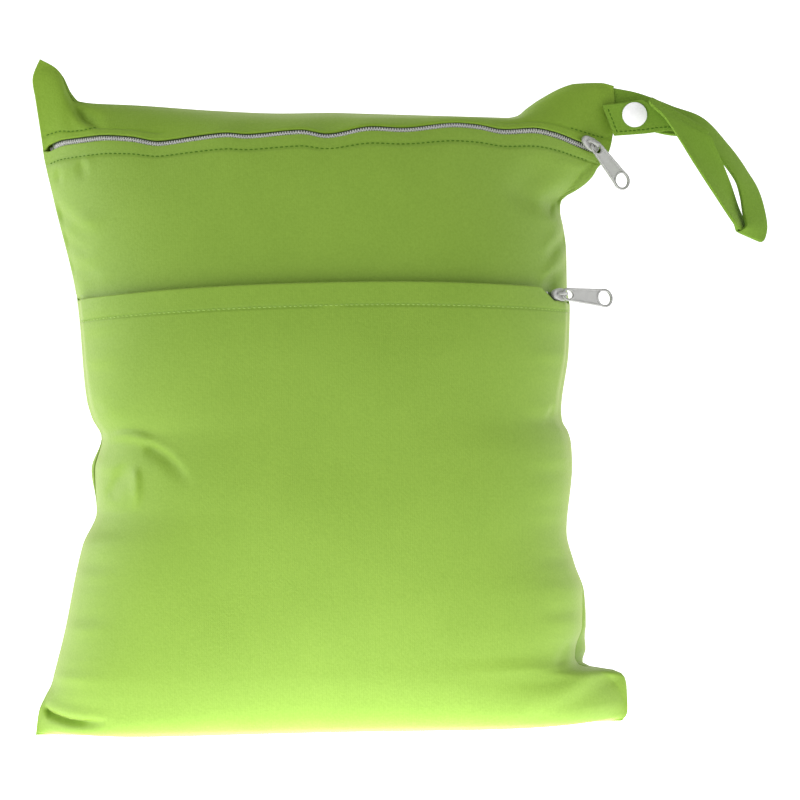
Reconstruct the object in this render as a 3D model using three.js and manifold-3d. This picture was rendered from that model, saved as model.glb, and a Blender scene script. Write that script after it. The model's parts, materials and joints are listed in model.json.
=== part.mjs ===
// A filled cloth storage bag standing on its flat base: a front and a back panel sewn
// together all round, a zip along the top of the front, a zipped pocket on the front with
// a lapped edge, and a strap in the right side seam that closes on itself with a snap.
// Millimetres, Z up, the front faces -Y, and the origin is the middle of the base.

import * as THREE from "three";
import { mergeVertices } from "three/addons/utils/BufferGeometryUtils.js";
import createManifold from "manifold-3d";

const { Manifold, Mesh: SolidMesh } = await prepared();

const FLAT_HEIGHT = 376;
const CLOTH = 1.4;
const SEAM_GAP = 0.3;
const SEAM_Y = 4;
const SEAM_EASE = 0.03;
const LAYER_GAP = 0.5;
const BODY_SHARE = 0.9;
const MAIN_ZIP = 0.889;
const POCKET_EDGE = 0.688;
const TOP_SLOPE = -0.05;
// The filled bag leans to the right by this much of its height.
const LEAN = 0.021;

const BODY_COLUMNS = 22;
const FLAP_COLUMNS = 2;

// Rows from the bottom seam up to the top seam. share: place along the flat cloth.
// centre, side: height in the middle and at the side seams, bend: how late it changes.
// front, back: fullness of each half. left, right: width of the flat seam lip.
// round: 1 is a straight wedge towards the sides, larger is boxier.
const PROFILE = [
  { share: 0.0, centre: 0, side: 0, bend: 6, front: 0, back: 0, left: 12, right: 21, round: 2.4 },
  { share: 0.0585, centre: 0, side: 4, bend: 6, front: 22, back: 24, left: 11, right: 21, round: 2.4 },
  { share: 0.0886, centre: 2.5, side: 7, bend: 6, front: 33, back: 34, left: 11, right: 21, round: 2.4 },
  { share: 0.116, centre: 9, side: 13, bend: 5, front: 41, back: 40, left: 10, right: 21, round: 2.4 },
  { share: 0.153, centre: 22, side: 25, bend: 4, front: 46, back: 44, left: 7, right: 20, round: 2.4 },
  { share: 0.177, centre: 31, side: 32, bend: 4, front: 48, back: 46, left: 5, right: 3, round: 2.5 },
  { share: 0.274, centre: 67, side: 66, bend: 3, front: 52, back: 49, left: 2, right: 1.8, round: 2.6 },
  { share: 0.428, centre: 125, side: 123, bend: 2, front: 55, back: 51, left: 1.8, right: 1.8, round: 2.6 },
  { share: 0.585, centre: 184, side: 181, bend: 2, front: 54, back: 50, left: 1.8, right: 1.8, round: 2.6 },
  { share: 0.688, centre: 222.5, side: 217, bend: 2.2, front: 51, back: 48, left: 1.8, right: 1.8, round: 2.5 },
  { share: 0.791, centre: 261, side: 255, bend: 2.4, front: 47, back: 45, left: 2.5, right: 2.5, round: 2.2 },
  { share: 0.854, centre: 284.5, side: 279, bend: 2.6, front: 44, back: 42, left: 4, right: 5, round: 1.8 },
  { share: 0.889, centre: 297, side: 291, bend: 2.6, front: 40, back: 39, left: 6, right: 6, round: 1.6 },
  { share: 0.931, centre: 304, side: 301, bend: 3, front: 26, back: 26, left: 12, right: 14, round: 1.6 },
  { share: 1.0, centre: 308, side: 308, bend: 4, front: 0, back: 0, left: 18, right: 22, round: 1.6 },
];

// How far each side seam reaches from the middle at each height.
const LEFT_OUTLINE = [
  { height: 0, reach: 146.5 },
  { height: 8, reach: 147.5 },
  { height: 20, reach: 142.5 },
  { height: 50, reach: 134 },
  { height: 95, reach: 124.5 },
  { height: 112, reach: 117.5 },
  { height: 132, reach: 119 },
  { height: 148, reach: 114.5 },
  { height: 165, reach: 121 },
  { height: 215, reach: 126 },
  { height: 267, reach: 139 },
  { height: 292, reach: 143.6 },
  { height: 327, reach: 149.6 },
  { height: 338, reach: 145 },
];
const RIGHT_OUTLINE = [
  { height: 0, reach: 141 },
  { height: 7, reach: 147 },
  { height: 22, reach: 147 },
  { height: 27, reach: 141 },
  { height: 31, reach: 127 },
  { height: 58, reach: 125.8 },
  { height: 97, reach: 117 },
  { height: 130, reach: 119.5 },
  { height: 157, reach: 114.5 },
  { height: 187, reach: 118 },
  { height: 217, reach: 118 },
  { height: 254, reach: 114 },
  { height: 269, reach: 126 },
  { height: 289, reach: 138 },
  { height: 299, reach: 141.5 },
  { height: 319, reach: 138.6 },
];

// The raised corners of the top seam: rise, and the share of the half width it climbs over.
const LEFT_EAR = { rise: 23, from: 0.8, to: 0.99 };
const RIGHT_EAR = { rise: 16.5, from: 0.69, to: 0.84 };

// Folds and dents, seen from the front: middle, turn in degrees, half length, half width,
// and depth into the cloth (negative stands proud).
const FRONT_FOLDS = [
  { name: "left dent", x: -96, z: 141, turn: -14, length: 34, width: 10, depth: 11 },
  { name: "ridge over the left dent", x: -86, z: 156, turn: -24, length: 34, width: 9, depth: -4 },
  { name: "left bottom corner", x: -124, z: 15, turn: -8, length: 30, width: 7, depth: 13 },
  { name: "right bottom corner", x: 122, z: 14, turn: 24, length: 30, width: 8, depth: 8 },
  { name: "right notch", x: 118, z: 33, turn: 0, length: 15, width: 7, depth: 12 },
  { name: "under the right ear", x: 112, z: 254, turn: 40, length: 20, width: 8, depth: 11 },
  { name: "across the right corner", x: 101, z: 271, turn: 48, length: 26, width: 9, depth: 4 },
  { name: "from the left zip end", x: -122, z: 272, turn: -50, length: 26, width: 8, depth: 4 },
];
const BACK_FOLDS = [
  { name: "back left dent", x: -92, z: 120, turn: 12, length: 34, width: 11, depth: 9 },
  { name: "back right dent", x: 94, z: 165, turn: 20, length: 30, width: 10, depth: 8 },
  { name: "under the back ear", x: -108, z: 270, turn: -42, length: 24, width: 9, depth: 6 },
];
const FOLDS_FROM = { none: 0.07, full: 0.12 };
const ZIP_WAVE = { height: 1.8, pitch: 42, fade: 14 };
// The main zip runs down a little before its right end.
const ZIP_DROOP = { depth: 2.8, from: 104, to: 127 };
const GATHERS = { share: 0.1, pitch: 46, from: 0.72, none: 0.2, full: 0.3 };

const TAPE = 0.8;
const TAPE_GAP = 0.4;
const MAIN_TAPE_GAP = 0.9;
const MAIN_TAPE_HALF = 9;
const MAIN_TAPE_REACH = 0.83;
const BEAD_HALF = 0.9;
const SLOT_HALF = 1.7;
const SLIDER = {
  length: 11, wide: 6.4, narrow: 4.6, plate: 2.2, reach: 3.2, bridge: 1.6, opening: 2.2, top: 1.2,
};
const PULL = {
  length: 29.5, near: 6.4, far: 9.2, thick: 1.5, bar: 1.2, slotWidth: 4.4, slotLength: 5.2,
  hole: 7.2, recess: 0.3,
};
const POCKET_LIFT = 2.9;
const POCKET_LAP = 16;
const POCKET_DIP = 7;
const POCKET_TAPE = { low: -8, high: 1.6, left: -0.75, right: 0.8, rise: 1.2 };

const MAIN_SLIDER = { x: 133.6, turn: -26, skew: -22, swing: 8 };
const POCKET_SLIDER = { x: 115.2, drop: 3.4, turn: 0, skew: -6, swing: 25 };

const STRAP = { thick: 2 };
// The strap from the seam round the loop to its free end: its middle line, and the step
// across it from the edge that is low at the root to its other edge.
const STRAP_PATH = [
  { name: "root", x: 143.2, y: 0, z: 308.4, across: [0, 0, 18.5] },
  { name: "under the snap", x: 151, y: 0, z: 305.8, across: [0.9, 0, 18.5] },
  { name: "past the snap", x: 164, y: 0.3, z: 302.4, across: [1.8, 2.8, 18.1] },
  { name: "knee", x: 188, y: 11, z: 294.3, across: [2, 17.4, 6] },
  { name: "falling", x: 198.3, y: 12, z: 279.5, across: [4.5, 17.3, 4.8] },
  { name: "low", x: 207, y: 9, z: 264, across: [7.5, 16.5, 3.2] },
  { name: "foot", x: 211.5, y: 4, z: 248.5, across: [12, 13.8, -3] },
  { name: "turn", x: 207.3, y: 1, z: 241.3, across: [11, 14.5, -2] },
  { name: "rising", x: 201.5, y: 0.5, z: 251, across: [9, 15.8, 3] },
  { name: "half way back", x: 191.4, y: -6.5, z: 267, across: [11, 13, 6.5] },
  { name: "upper", x: 184.2, y: -9.5, z: 281, across: [14.8, 6.4, 8.8] },
  { name: "before the fold", x: 177.6, y: -13, z: 291.5, across: [14.8, 4.8, 10] },
  { name: "fold", x: 170.7, y: -10, z: 305, across: [24.5, 6, -12.6] },
  { name: "after the fold", x: 157.5, y: -6.3, z: 303.2, across: [5.5, 0, -17.6] },
  { name: "on the snap", x: 150.5, y: -6.2, z: 302.6, across: [5.5, 0, -17.6] },
  { name: "free end", x: 138.8, y: -6.2, z: 301.2, across: [5.5, 0, -17.6] },
];
const STRAP_SECTIONS = 62;
const SNAP = { x: 150.5, z: 303.4, cap: 12.4, capThick: 1.7, post: 3.4, hole: 4, socket: 9.6, stud: 8.6 };

const CLOTH_LOOK = { color: 0x93b54d, roughness: 0.62, metalness: 0 };
const SHADED_CLOTH_LOOK = { color: 0x83a842, roughness: 0.62, metalness: 0 };
const ZIP_LOOK = { color: 0xc9cac6, roughness: 0.5, metalness: 0 };
const METAL_LOOK = { color: 0xbebeba, roughness: 0.4, metalness: 0.4 };
const SNAP_LOOK = { color: 0xf4f4f2, roughness: 0.3, metalness: 0 };

async function prepared() {
  const tools = await createManifold();
  tools.setup();
  return tools;
}

function leaned(x, z) {
  return x + LEAN * z;
}

function smoothstep(from, to, value) {
  return THREE.MathUtils.smoothstep(value, from, to);
}

// A smooth curve through one column of a table that never overshoots its rows.
function curve(rows, along, column) {
  const xs = rows.map((row) => row[along]);
  const ys = rows.map((row) => row[column]);
  const slopes = xs.slice(1).map((x, i) => (ys[i + 1] - ys[i]) / (x - xs[i]));
  const tangents = xs.map((_, i) => {
    if (i === 0 || i === xs.length - 1) return slopes[Math.min(i, slopes.length - 1)];
    const [a, b] = [slopes[i - 1], slopes[i]];
    return a * b <= 0 ? 0 : (2 * a * b) / (a + b);
  });
  return (value) => {
    const x = THREE.MathUtils.clamp(value, xs[0], xs[xs.length - 1]);
    let i = 0;
    while (i < xs.length - 2 && x > xs[i + 1]) i += 1;
    const step = xs[i + 1] - xs[i];
    const t = (x - xs[i]) / step;
    const [t2, t3] = [t * t, t * t * t];
    const start = (2 * t3 - 3 * t2 + 1) * ys[i] + (t3 - 2 * t2 + t) * step * tangents[i];
    const end = (3 * t2 - 2 * t3) * ys[i + 1] + (t3 - t2) * step * tangents[i + 1];
    return start + end;
  };
}

const profile = {};
for (const column of Object.keys(PROFILE[0]).slice(1)) profile[column] = curve(PROFILE, "share", column);
const leftReach = curve(LEFT_OUTLINE, "height", "reach");
const rightReach = curve(RIGHT_OUTLINE, "height", "reach");

function foldDepth(folds, x, z) {
  let depth = 0;
  for (const fold of folds) {
    const turn = THREE.MathUtils.degToRad(fold.turn);
    const along = (x - fold.x) * Math.cos(turn) + (z - fold.z) * Math.sin(turn);
    const over = (z - fold.z) * Math.cos(turn) - (x - fold.x) * Math.sin(turn);
    depth += fold.depth * Math.exp(-((along / fold.length) ** 2) - (over / fold.width) ** 2);
  }
  return depth;
}

// The pocket and its gap lie over the front panel up to a little above the pocket's edge.
function underPocket(share) {
  return (CLOTH + LAYER_GAP) * (1 - smoothstep(POCKET_EDGE + 0.02, POCKET_EDGE + 0.12, share));
}

// The outermost cloth of one half. half is -1 for the front and 1 for the back,
// tau runs from -1 at the left seam to 1 at the right seam.
function form(half, tau, share) {
  const right = tau > 0;
  const ear = right ? RIGHT_EAR : LEFT_EAR;
  const climb = smoothstep(MAIN_ZIP, 1, share);
  const seamHeight = profile.side(share) + climb * ear.rise;
  const reach = right ? rightReach(seamHeight) : leftReach(seamHeight);
  const lip = Math.min(right ? profile.right(share) : profile.left(share), reach / 3);
  const body = reach - lip;
  const a = Math.abs(tau);
  const onBody = a <= BODY_SHARE;
  const across = onBody
    ? body * Math.sin((Math.PI / 2) * (a / BODY_SHARE))
    : body + (lip * (a - BODY_SHARE)) / (1 - BODY_SHARE);
  const x = right ? across : -across;
  const u = across / reach;

  let z = profile.centre(share) + (profile.side(share) - profile.centre(share)) * u ** profile.bend(share);
  z += climb * (ear.rise * smoothstep(ear.from, ear.to, u) + TOP_SLOPE * x);
  const fromZip = ((share - MAIN_ZIP) * FLAT_HEIGHT) / ZIP_WAVE.fade;
  const wave = Math.sin((2 * Math.PI * x) / ZIP_WAVE.pitch) * Math.exp(-(fromZip ** 2)) * (1 - u ** 4);
  const droop = smoothstep(ZIP_DROOP.from, ZIP_DROOP.to, x) * Math.exp(-(fromZip ** 2));
  if (half < 0) z += ZIP_WAVE.height * wave - ZIP_DROOP.depth * droop;
  z = Math.max(z, 0);

  const n = profile.round(share);
  let fullness = onBody ? (1 - (across / body) ** n) ** (1 / n) : 0;
  const ripple = Math.sin((2 * Math.PI * z) / GATHERS.pitch);
  const gathered = GATHERS.share * smoothstep(GATHERS.from, 1, u) * ripple;
  fullness *= 1 + gathered * smoothstep(GATHERS.none, GATHERS.full, share);
  const depth = half < 0 ? profile.front(share) : profile.back(share);
  const foldShare = smoothstep(FOLDS_FROM.none, FOLDS_FROM.full, share);
  const dent = foldDepth(half < 0 ? FRONT_FOLDS : BACK_FOLDS, x, z) * foldShare;
  const layers = half < 0 ? CLOTH + underPocket(share) : CLOTH;
  const seamEase = smoothstep(0, SEAM_EASE, share) * smoothstep(0, SEAM_EASE, 1 - share);
  const lay = Math.max(smoothstep(0.75, 0.95, a), seamEase);
  const y = half * (SEAM_GAP / 2 + layers * lay + Math.max(depth * fullness - dent, 0));
  return new THREE.Vector3(leaned(x, z), y, z);
}

function outward(half, tau, share) {
  const step = 0.004;
  const [t0, t1] = [Math.max(tau - step, -1), Math.min(tau + step, 1)];
  const [s0, s1] = [Math.max(share - step, 0), Math.min(share + step, 1)];
  const across = form(half, t1, share).sub(form(half, t0, share));
  const up = form(half, tau, s1).sub(form(half, tau, s0));
  return across.cross(up).multiplyScalar(-half).normalize();
}

// A place under the outermost cloth; the seam plane is never crossed.
function under(half, tau, share, offset) {
  const place = form(half, tau, share).addScaledVector(outward(half, tau, share), -offset);
  place.y = half * Math.max(half * place.y, SEAM_GAP / 2);
  place.z = Math.max(place.z, 0);
  return place;
}

function tauAt(x, share) {
  let [low, high] = [-1, 1];
  for (let i = 0; i < 40; i += 1) {
    const middle = (low + high) / 2;
    if (form(-1, middle, share).x < x) low = middle;
    else high = middle;
  }
  return (low + high) / 2;
}

function columns() {
  const taus = [];
  for (let i = 0; i <= FLAP_COLUMNS; i += 1) taus.push(-1 + ((1 - BODY_SHARE) * i) / FLAP_COLUMNS);
  for (let i = 1; i <= BODY_COLUMNS; i += 1) taus.push(BODY_SHARE * ((2 * i) / BODY_COLUMNS - 1));
  for (let i = 1; i <= FLAP_COLUMNS; i += 1) taus.push(BODY_SHARE + ((1 - BODY_SHARE) * i) / FLAP_COLUMNS);
  return taus;
}

// Rows lie closer together near both ends.
function bunched(part) {
  return part - (0.55 * Math.sin(2 * Math.PI * part)) / (2 * Math.PI);
}

function closed(geometry) {
  const place = geometry.getAttribute("position");
  const index = geometry.index.array;
  const [a, b, c] = [new THREE.Vector3(), new THREE.Vector3(), new THREE.Vector3()];
  let volume = 0;
  for (let i = 0; i < index.length; i += 3) {
    a.fromBufferAttribute(place, index[i]);
    b.fromBufferAttribute(place, index[i + 1]);
    c.fromBufferAttribute(place, index[i + 2]);
    volume += a.dot(b.cross(c));
  }
  if (volume < 0) index.reverse();
  geometry.computeVertexNormals();
  return geometry;
}

function geometryFrom(places, triangles) {
  const geometry = new THREE.BufferGeometry().setFromPoints(places);
  geometry.setIndex(triangles);
  return closed(geometry);
}

// A sheet with thickness, from the outer and inner grids of places.
function sheetSolid(outer, inner) {
  const [rows, count] = [outer.length, outer[0].length];
  const places = [...outer.flat(), ...inner.flat()];
  const at = (layer, row, column) => (layer * rows + row) * count + column;
  const triangles = [];
  const quad = (a, b, c, d) => triangles.push(a, b, c, a, c, d);
  for (let r = 0; r + 1 < rows; r += 1) {
    for (let c = 0; c + 1 < count; c += 1) {
      quad(at(0, r, c), at(0, r, c + 1), at(0, r + 1, c + 1), at(0, r + 1, c));
      quad(at(1, r, c), at(1, r + 1, c), at(1, r + 1, c + 1), at(1, r, c + 1));
    }
    quad(at(0, r, 0), at(0, r + 1, 0), at(1, r + 1, 0), at(1, r, 0));
    quad(at(0, r + 1, count - 1), at(0, r, count - 1), at(1, r, count - 1), at(1, r + 1, count - 1));
  }
  for (let c = 0; c + 1 < count; c += 1) {
    quad(at(0, 0, c + 1), at(0, 0, c), at(1, 0, c), at(1, 0, c + 1));
    quad(at(0, rows - 1, c), at(0, rows - 1, c + 1), at(1, rows - 1, c + 1), at(1, rows - 1, c));
  }
  return geometryFrom(places, triangles);
}

// Rows of shares between two edges; an edge may lie differently in each column.
function rowsBetween(from, to, count) {
  const parts = Array.from({ length: count + 1 }, (_, r) => bunched(r / count));
  return parts.map((part) => (tau) => from(tau) + (to(tau) - from(tau)) * part);
}

// A cloth sheet on rows and columns, its outer face at an offset under the outermost cloth.
function clothSheet(half, rows, taus, offset, thick = CLOTH) {
  const layer = (extra) =>
    rows.map((row) => taus.map((tau) => under(half, tau, row(tau), offset(tau, row(tau)) + extra)));
  return sheetSolid(layer(0), layer(thick));
}

// A solid through a list of sections that share one flat outline.
function sweptSolid(sections, outline) {
  const count = outline.length;
  const triangles = [];
  for (let s = 0; s + 1 < sections.length; s += 1) {
    for (let k = 0; k < count; k += 1) {
      const next = (k + 1) % count;
      const [a, b] = [s * count + k, s * count + next];
      triangles.push(a, b, b + count, a, b + count, a + count);
    }
  }
  const last = (sections.length - 1) * count;
  for (const [a, b, c] of THREE.ShapeUtils.triangulateShape(outline, [])) {
    triangles.push(c, b, a, last + a, last + b, last + c);
  }
  return geometryFrom(sections.flat(), triangles);
}

// A zip along the front: a tape that follows the cloth, with the bead of its teeth on it.
// low and high are the tape's edges from the bead in millimetres.
function zipSolid({ share, taus, low, high, offset, rise }) {
  const heights = [low, (low - BEAD_HALF) / 2, 0, (high + BEAD_HALF) / 2, high];
  const rows = heights.map((mm) => () => share + mm / FLAT_HEIGHT);
  const tape = clothSheet(-1, rows, taus, () => offset, TAPE);
  const outline = [
    [-BEAD_HALF, -TAPE / 2], [BEAD_HALF, -TAPE / 2], [BEAD_HALF, rise * 0.6],
    [BEAD_HALF * 0.45, rise], [-BEAD_HALF * 0.45, rise], [-BEAD_HALF, rise * 0.6],
  ].map(([x, y]) => new THREE.Vector2(x, y));
  const sections = taus.map((tau) => {
    const out = outward(-1, tau, share);
    const along = form(-1, tau + 0.004, share).sub(form(-1, tau - 0.004, share)).normalize();
    const across = out.clone().cross(along).normalize();
    const middle = form(-1, tau, share).addScaledVector(out, -offset);
    return outline.map((p) => middle.clone().addScaledVector(across, p.x).addScaledVector(out, p.y));
  });
  return geometryOf(solid(tape).add(solid(sweptSolid(sections, outline))));
}

function solid(geometry) {
  const bare = new THREE.BufferGeometry();
  bare.setAttribute("position", geometry.getAttribute("position"));
  if (geometry.index) bare.setIndex(geometry.index);
  const merged = mergeVertices(bare, 1e-4);
  const vertProperties = new Float32Array(merged.getAttribute("position").array);
  const triVerts = new Uint32Array(merged.index.array);
  return new Manifold(new SolidMesh({ numProp: 3, vertProperties, triVerts }));
}

function geometryOf(body) {
  const mesh = body.getMesh();
  const geometry = new THREE.BufferGeometry();
  geometry.setAttribute("position", new THREE.BufferAttribute(new Float32Array(mesh.vertProperties), 3));
  geometry.setIndex(Array.from(mesh.triVerts));
  geometry.computeVertexNormals();
  return geometry;
}

function extruded(shape, depth, curveSegments = 6) {
  return new THREE.ExtrudeGeometry(shape, { depth, bevelEnabled: false, curveSegments });
}

// The slider in its own frame: x along the zip, y across it, z out of the cloth.
function sliderGeometry() {
  const { length, wide, narrow, plate, reach, bridge, opening, top } = SLIDER;
  const outline = new THREE.Shape();
  outline.moveTo(-length / 2, -narrow / 2);
  outline.lineTo(length * 0.1, -wide / 2);
  outline.lineTo(length * 0.4, -wide / 2);
  outline.quadraticCurveTo(length / 2, -wide / 2, length / 2, -wide / 4);
  outline.lineTo(length / 2, wide / 4);
  outline.quadraticCurveTo(length / 2, wide / 2, length * 0.4, wide / 2);
  outline.lineTo(length * 0.1, wide / 2);
  outline.lineTo(-length / 2, narrow / 2);
  const high = plate + opening + top;
  const arch = new THREE.Shape();
  arch.moveTo(-reach, plate * 0.6);
  arch.lineTo(reach, plate * 0.6);
  arch.lineTo(reach, high - 1.6);
  arch.quadraticCurveTo(reach, high, reach - 1.6, high);
  arch.lineTo(1.6 - reach, high);
  arch.quadraticCurveTo(-reach, high, -reach, high - 1.6);
  const room = new THREE.Path();
  const inner = reach - 1.3;
  room.moveTo(-inner, plate + 0.1);
  room.lineTo(inner, plate + 0.1);
  room.lineTo(inner, plate + opening - 0.6);
  room.quadraticCurveTo(inner, plate + opening, inner - 0.8, plate + opening);
  room.lineTo(0.8 - inner, plate + opening);
  room.quadraticCurveTo(-inner, plate + opening, -inner, plate + opening - 0.6);
  arch.holes.push(room);
  const archGeometry = extruded(arch, bridge, 4).rotateX(Math.PI / 2).translate(0, bridge / 2, 0);
  return geometryOf(solid(extruded(outline, plate, 3)).add(solid(archGeometry)));
}

function pullPivotHeight() {
  return SLIDER.plate + 0.1 + (SLIDER.opening - 0.1) / 2;
}

// The pull in its own frame: x from the hinge bar to the far end, z through the plate.
function pullGeometry() {
  const { length, near, far, thick, bar, slotWidth, slotLength, hole, recess } = PULL;
  const start = -bar / 2;
  const farMiddle = start + length - far / 2;
  const outline = new THREE.Shape();
  outline.moveTo(start, -near / 2 + 1.2);
  outline.quadraticCurveTo(start, -near / 2, start + 1.2, -near / 2);
  outline.lineTo(farMiddle - 3, -far / 2 + 0.4);
  outline.absarc(farMiddle, 0, far / 2, -Math.PI / 2, Math.PI / 2, false);
  outline.lineTo(farMiddle - 3, far / 2 - 0.4);
  outline.lineTo(start + 1.2, near / 2);
  outline.quadraticCurveTo(start, near / 2, start, near / 2 - 1.2);
  const slot = new THREE.Path();
  slot.moveTo(bar / 2, -slotWidth / 2);
  slot.lineTo(bar / 2 + slotLength, -slotWidth / 2);
  slot.lineTo(bar / 2 + slotLength, slotWidth / 2);
  slot.lineTo(bar / 2, slotWidth / 2);
  const eye = new THREE.Path();
  eye.absarc(farMiddle, 0, hole / 2, 0, 2 * Math.PI, true);
  outline.holes.push(slot, eye);
  const from = bar / 2 + slotLength + 1.4;
  const to = farMiddle - hole / 2 - 1.4;
  const dish = new THREE.Shape();
  dish.moveTo(from, -near / 2 + 1.3);
  dish.lineTo(to, -far / 2 + 1.8);
  dish.lineTo(to, far / 2 - 1.8);
  dish.lineTo(from, near / 2 - 1.3);
  const plate = solid(extruded(outline, thick, 8).translate(0, 0, -thick / 2));
  const front = solid(extruded(dish, recess * 2).translate(0, 0, thick / 2 - recess));
  const rear = solid(extruded(dish, recess * 2).translate(0, 0, -thick / 2 - recess));
  return geometryOf(plate.subtract(front).subtract(rear));
}

// The frame of a slider on the front cloth: x along the zip to the right, z out of the cloth.
function sliderFrame({ x, turn }, share, offset) {
  const tau = tauAt(x, share);
  const out = outward(-1, tau, share);
  const along = form(-1, tau + 0.03, share).sub(form(-1, tau - 0.03, share));
  along.addScaledVector(out, -along.dot(out)).normalize();
  const across = out.clone().cross(along);
  const place = form(-1, tau, share).addScaledVector(out, -offset);
  const frame = new THREE.Matrix4().makeBasis(along, across, out).setPosition(place);
  return frame.multiply(new THREE.Matrix4().makeRotationZ(THREE.MathUtils.degToRad(turn)));
}

// The pull's frame inside its slider: skew is its lean on the bridge, swing lifts it.
function pullFrame(frame, { skew, swing }) {
  const turned = new THREE.Matrix4().makeRotationZ(THREE.MathUtils.degToRad(skew));
  const lifted = new THREE.Matrix4().makeRotationY(THREE.MathUtils.degToRad(-swing));
  const pivot = new THREE.Matrix4().makeTranslation(0, 0, pullPivotHeight());
  return frame.clone().multiply(pivot).multiply(turned).multiply(lifted);
}

function strapPlace({ x, y, z }) {
  return new THREE.Vector3(leaned(x, z), y, z);
}

function strapGeometry() {
  const middle = new THREE.CatmullRomCurve3(STRAP_PATH.map(strapPlace));
  const edges = new THREE.CatmullRomCurve3(STRAP_PATH.map((p) => new THREE.Vector3(...p.across)));
  const outline = [[-1, -1], [1, -1], [1, 1], [-1, 1]].map(([x, y]) => new THREE.Vector2(x, y));
  const sections = [];
  for (let i = 0; i <= STRAP_SECTIONS; i += 1) {
    const at = i / STRAP_SECTIONS;
    const centre = middle.getPoint(at);
    const across = edges.getPoint(at).multiplyScalar(0.5);
    const face = middle.getTangent(at).cross(across).setLength(STRAP.thick / 2);
    sections.push(outline.map((p) => centre.clone().addScaledVector(across, p.x).addScaledVector(face, p.y)));
  }
  const hole = new THREE.CylinderGeometry(SNAP.hole / 2, SNAP.hole / 2, 24, 16);
  hole.translate(leaned(SNAP.x, SNAP.z), 0, SNAP.z);
  return geometryOf(solid(sweptSolid(sections, outline)).subtract(solid(hole)));
}

// Turned pieces of the snap; rows are (radius, place along Y).
function turned(rows) {
  const lathe = new THREE.LatheGeometry(rows.map(([radius, y]) => new THREE.Vector2(radius, y)), 20);
  return geometryOf(solid(lathe)).translate(leaned(SNAP.x, SNAP.z), 0, SNAP.z);
}

function snapCapGeometry() {
  const free = STRAP_PATH[STRAP_PATH.length - 1].y;
  const front = free - STRAP.thick / 2 - 0.3;
  const rear = free + STRAP.thick / 2 + 0.3;
  const { cap, capThick, post, socket } = SNAP;
  return turned([
    [0, front - capThick], [cap * 0.3, front - capThick], [cap * 0.44, front - capThick * 0.8],
    [cap / 2, front - capThick * 0.3], [cap * 0.48, front], [post / 2, front], [post / 2, rear],
    [socket / 2, rear], [socket / 2, rear + 2], [0, rear + 2],
  ]);
}

function snapStudGeometry() {
  const face = STRAP.thick / 2 + 0.35;
  const { stud, post } = SNAP;
  return turned([
    [0, -face - 1.1], [stud * 0.3, -face - 1.1], [stud / 2, -face - 0.5], [stud / 2, -face],
    [post / 2, -face], [post / 2, face], [stud / 2, face], [stud / 2, face + 1], [0, face + 1],
  ]);
}

const bag = new THREE.Group();
bag.name = "cloth_storage_bag";

function add(name, geometry, look) {
  const mesh = new THREE.Mesh(geometry.translate(0, SEAM_Y, 0), new THREE.MeshStandardMaterial(look));
  mesh.name = name;
  bag.add(mesh);
}

const perMm = 1 / FLAT_HEIGHT;
const taus = columns();
const bottom = () => 0;
const top = () => 1;
const slot = (tau) => SLOT_HALF * perMm * (1 - 0.8 * smoothstep(0.86, 0.92, Math.abs(tau)));
const underZip = (tau) => MAIN_ZIP - slot(tau);
const overZip = (tau) => MAIN_ZIP + slot(tau);
const pocketTop = (tau) => POCKET_EDGE - POCKET_DIP * perMm * smoothstep(0.575, 0.65, tau);
const pocketLift = (tau, share) => {
  const lap = smoothstep(POCKET_EDGE - 2.2 * POCKET_LAP * perMm, POCKET_EDGE - POCKET_LAP * perMm, share);
  return -POCKET_LIFT * lap * (1 - smoothstep(0.8, 0.9, Math.abs(tau)));
};
const pocketRows = rowsBetween(bottom, pocketTop, 15);
const frontRows = [...pocketRows, ...rowsBetween(pocketTop, underZip, 7).slice(1)];

add("back_panel", clothSheet(1, rowsBetween(bottom, top, 22), taus, () => 0), CLOTH_LOOK);
add("front_panel", clothSheet(-1, frontRows, taus, (tau, share) => underPocket(share)), CLOTH_LOOK);
add("pocket_panel", clothSheet(-1, pocketRows, taus, pocketLift), CLOTH_LOOK);
add("top_strip", clothSheet(-1, rowsBetween(overZip, top, 5), taus, () => 0), SHADED_CLOTH_LOOK);

const mainZip = {
  share: MAIN_ZIP,
  taus: taus.filter((tau) => Math.abs(tau) < MAIN_TAPE_REACH),
  low: -MAIN_TAPE_HALF,
  high: MAIN_TAPE_HALF,
  offset: CLOTH + MAIN_TAPE_GAP,
  rise: CLOTH + MAIN_TAPE_GAP - 0.1,
};
add("main_zip_tape", zipSolid(mainZip), ZIP_LOOK);
const mainFrame = sliderFrame(MAIN_SLIDER, MAIN_ZIP, -TAPE_GAP);
add("main_zip_slider", sliderGeometry().applyMatrix4(mainFrame), METAL_LOOK);
add("main_zip_pull", pullGeometry().applyMatrix4(pullFrame(mainFrame, MAIN_SLIDER)), METAL_LOOK);

const pocketZip = {
  share: POCKET_EDGE - POCKET_SLIDER.drop * perMm,
  taus: taus.filter((tau) => tau > POCKET_TAPE.left && tau < POCKET_TAPE.right),
  low: POCKET_TAPE.low,
  high: POCKET_TAPE.high,
  offset: CLOTH + LAYER_GAP - TAPE_GAP - TAPE,
  rise: POCKET_TAPE.rise,
};
add("pocket_zip_tape", zipSolid(pocketZip), ZIP_LOOK);
const pocketFrame = sliderFrame(POCKET_SLIDER, pocketZip.share, pocketZip.offset - pocketZip.rise - TAPE_GAP);
add("pocket_zip_slider", sliderGeometry().applyMatrix4(pocketFrame), METAL_LOOK);
add("pocket_zip_pull", pullGeometry().applyMatrix4(pullFrame(pocketFrame, POCKET_SLIDER)), METAL_LOOK);

add("strap", strapGeometry(), CLOTH_LOOK);
add("snap_cap", snapCapGeometry(), SNAP_LOOK);
add("snap_stud", snapStudGeometry(), SNAP_LOOK);

export default bag;
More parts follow.
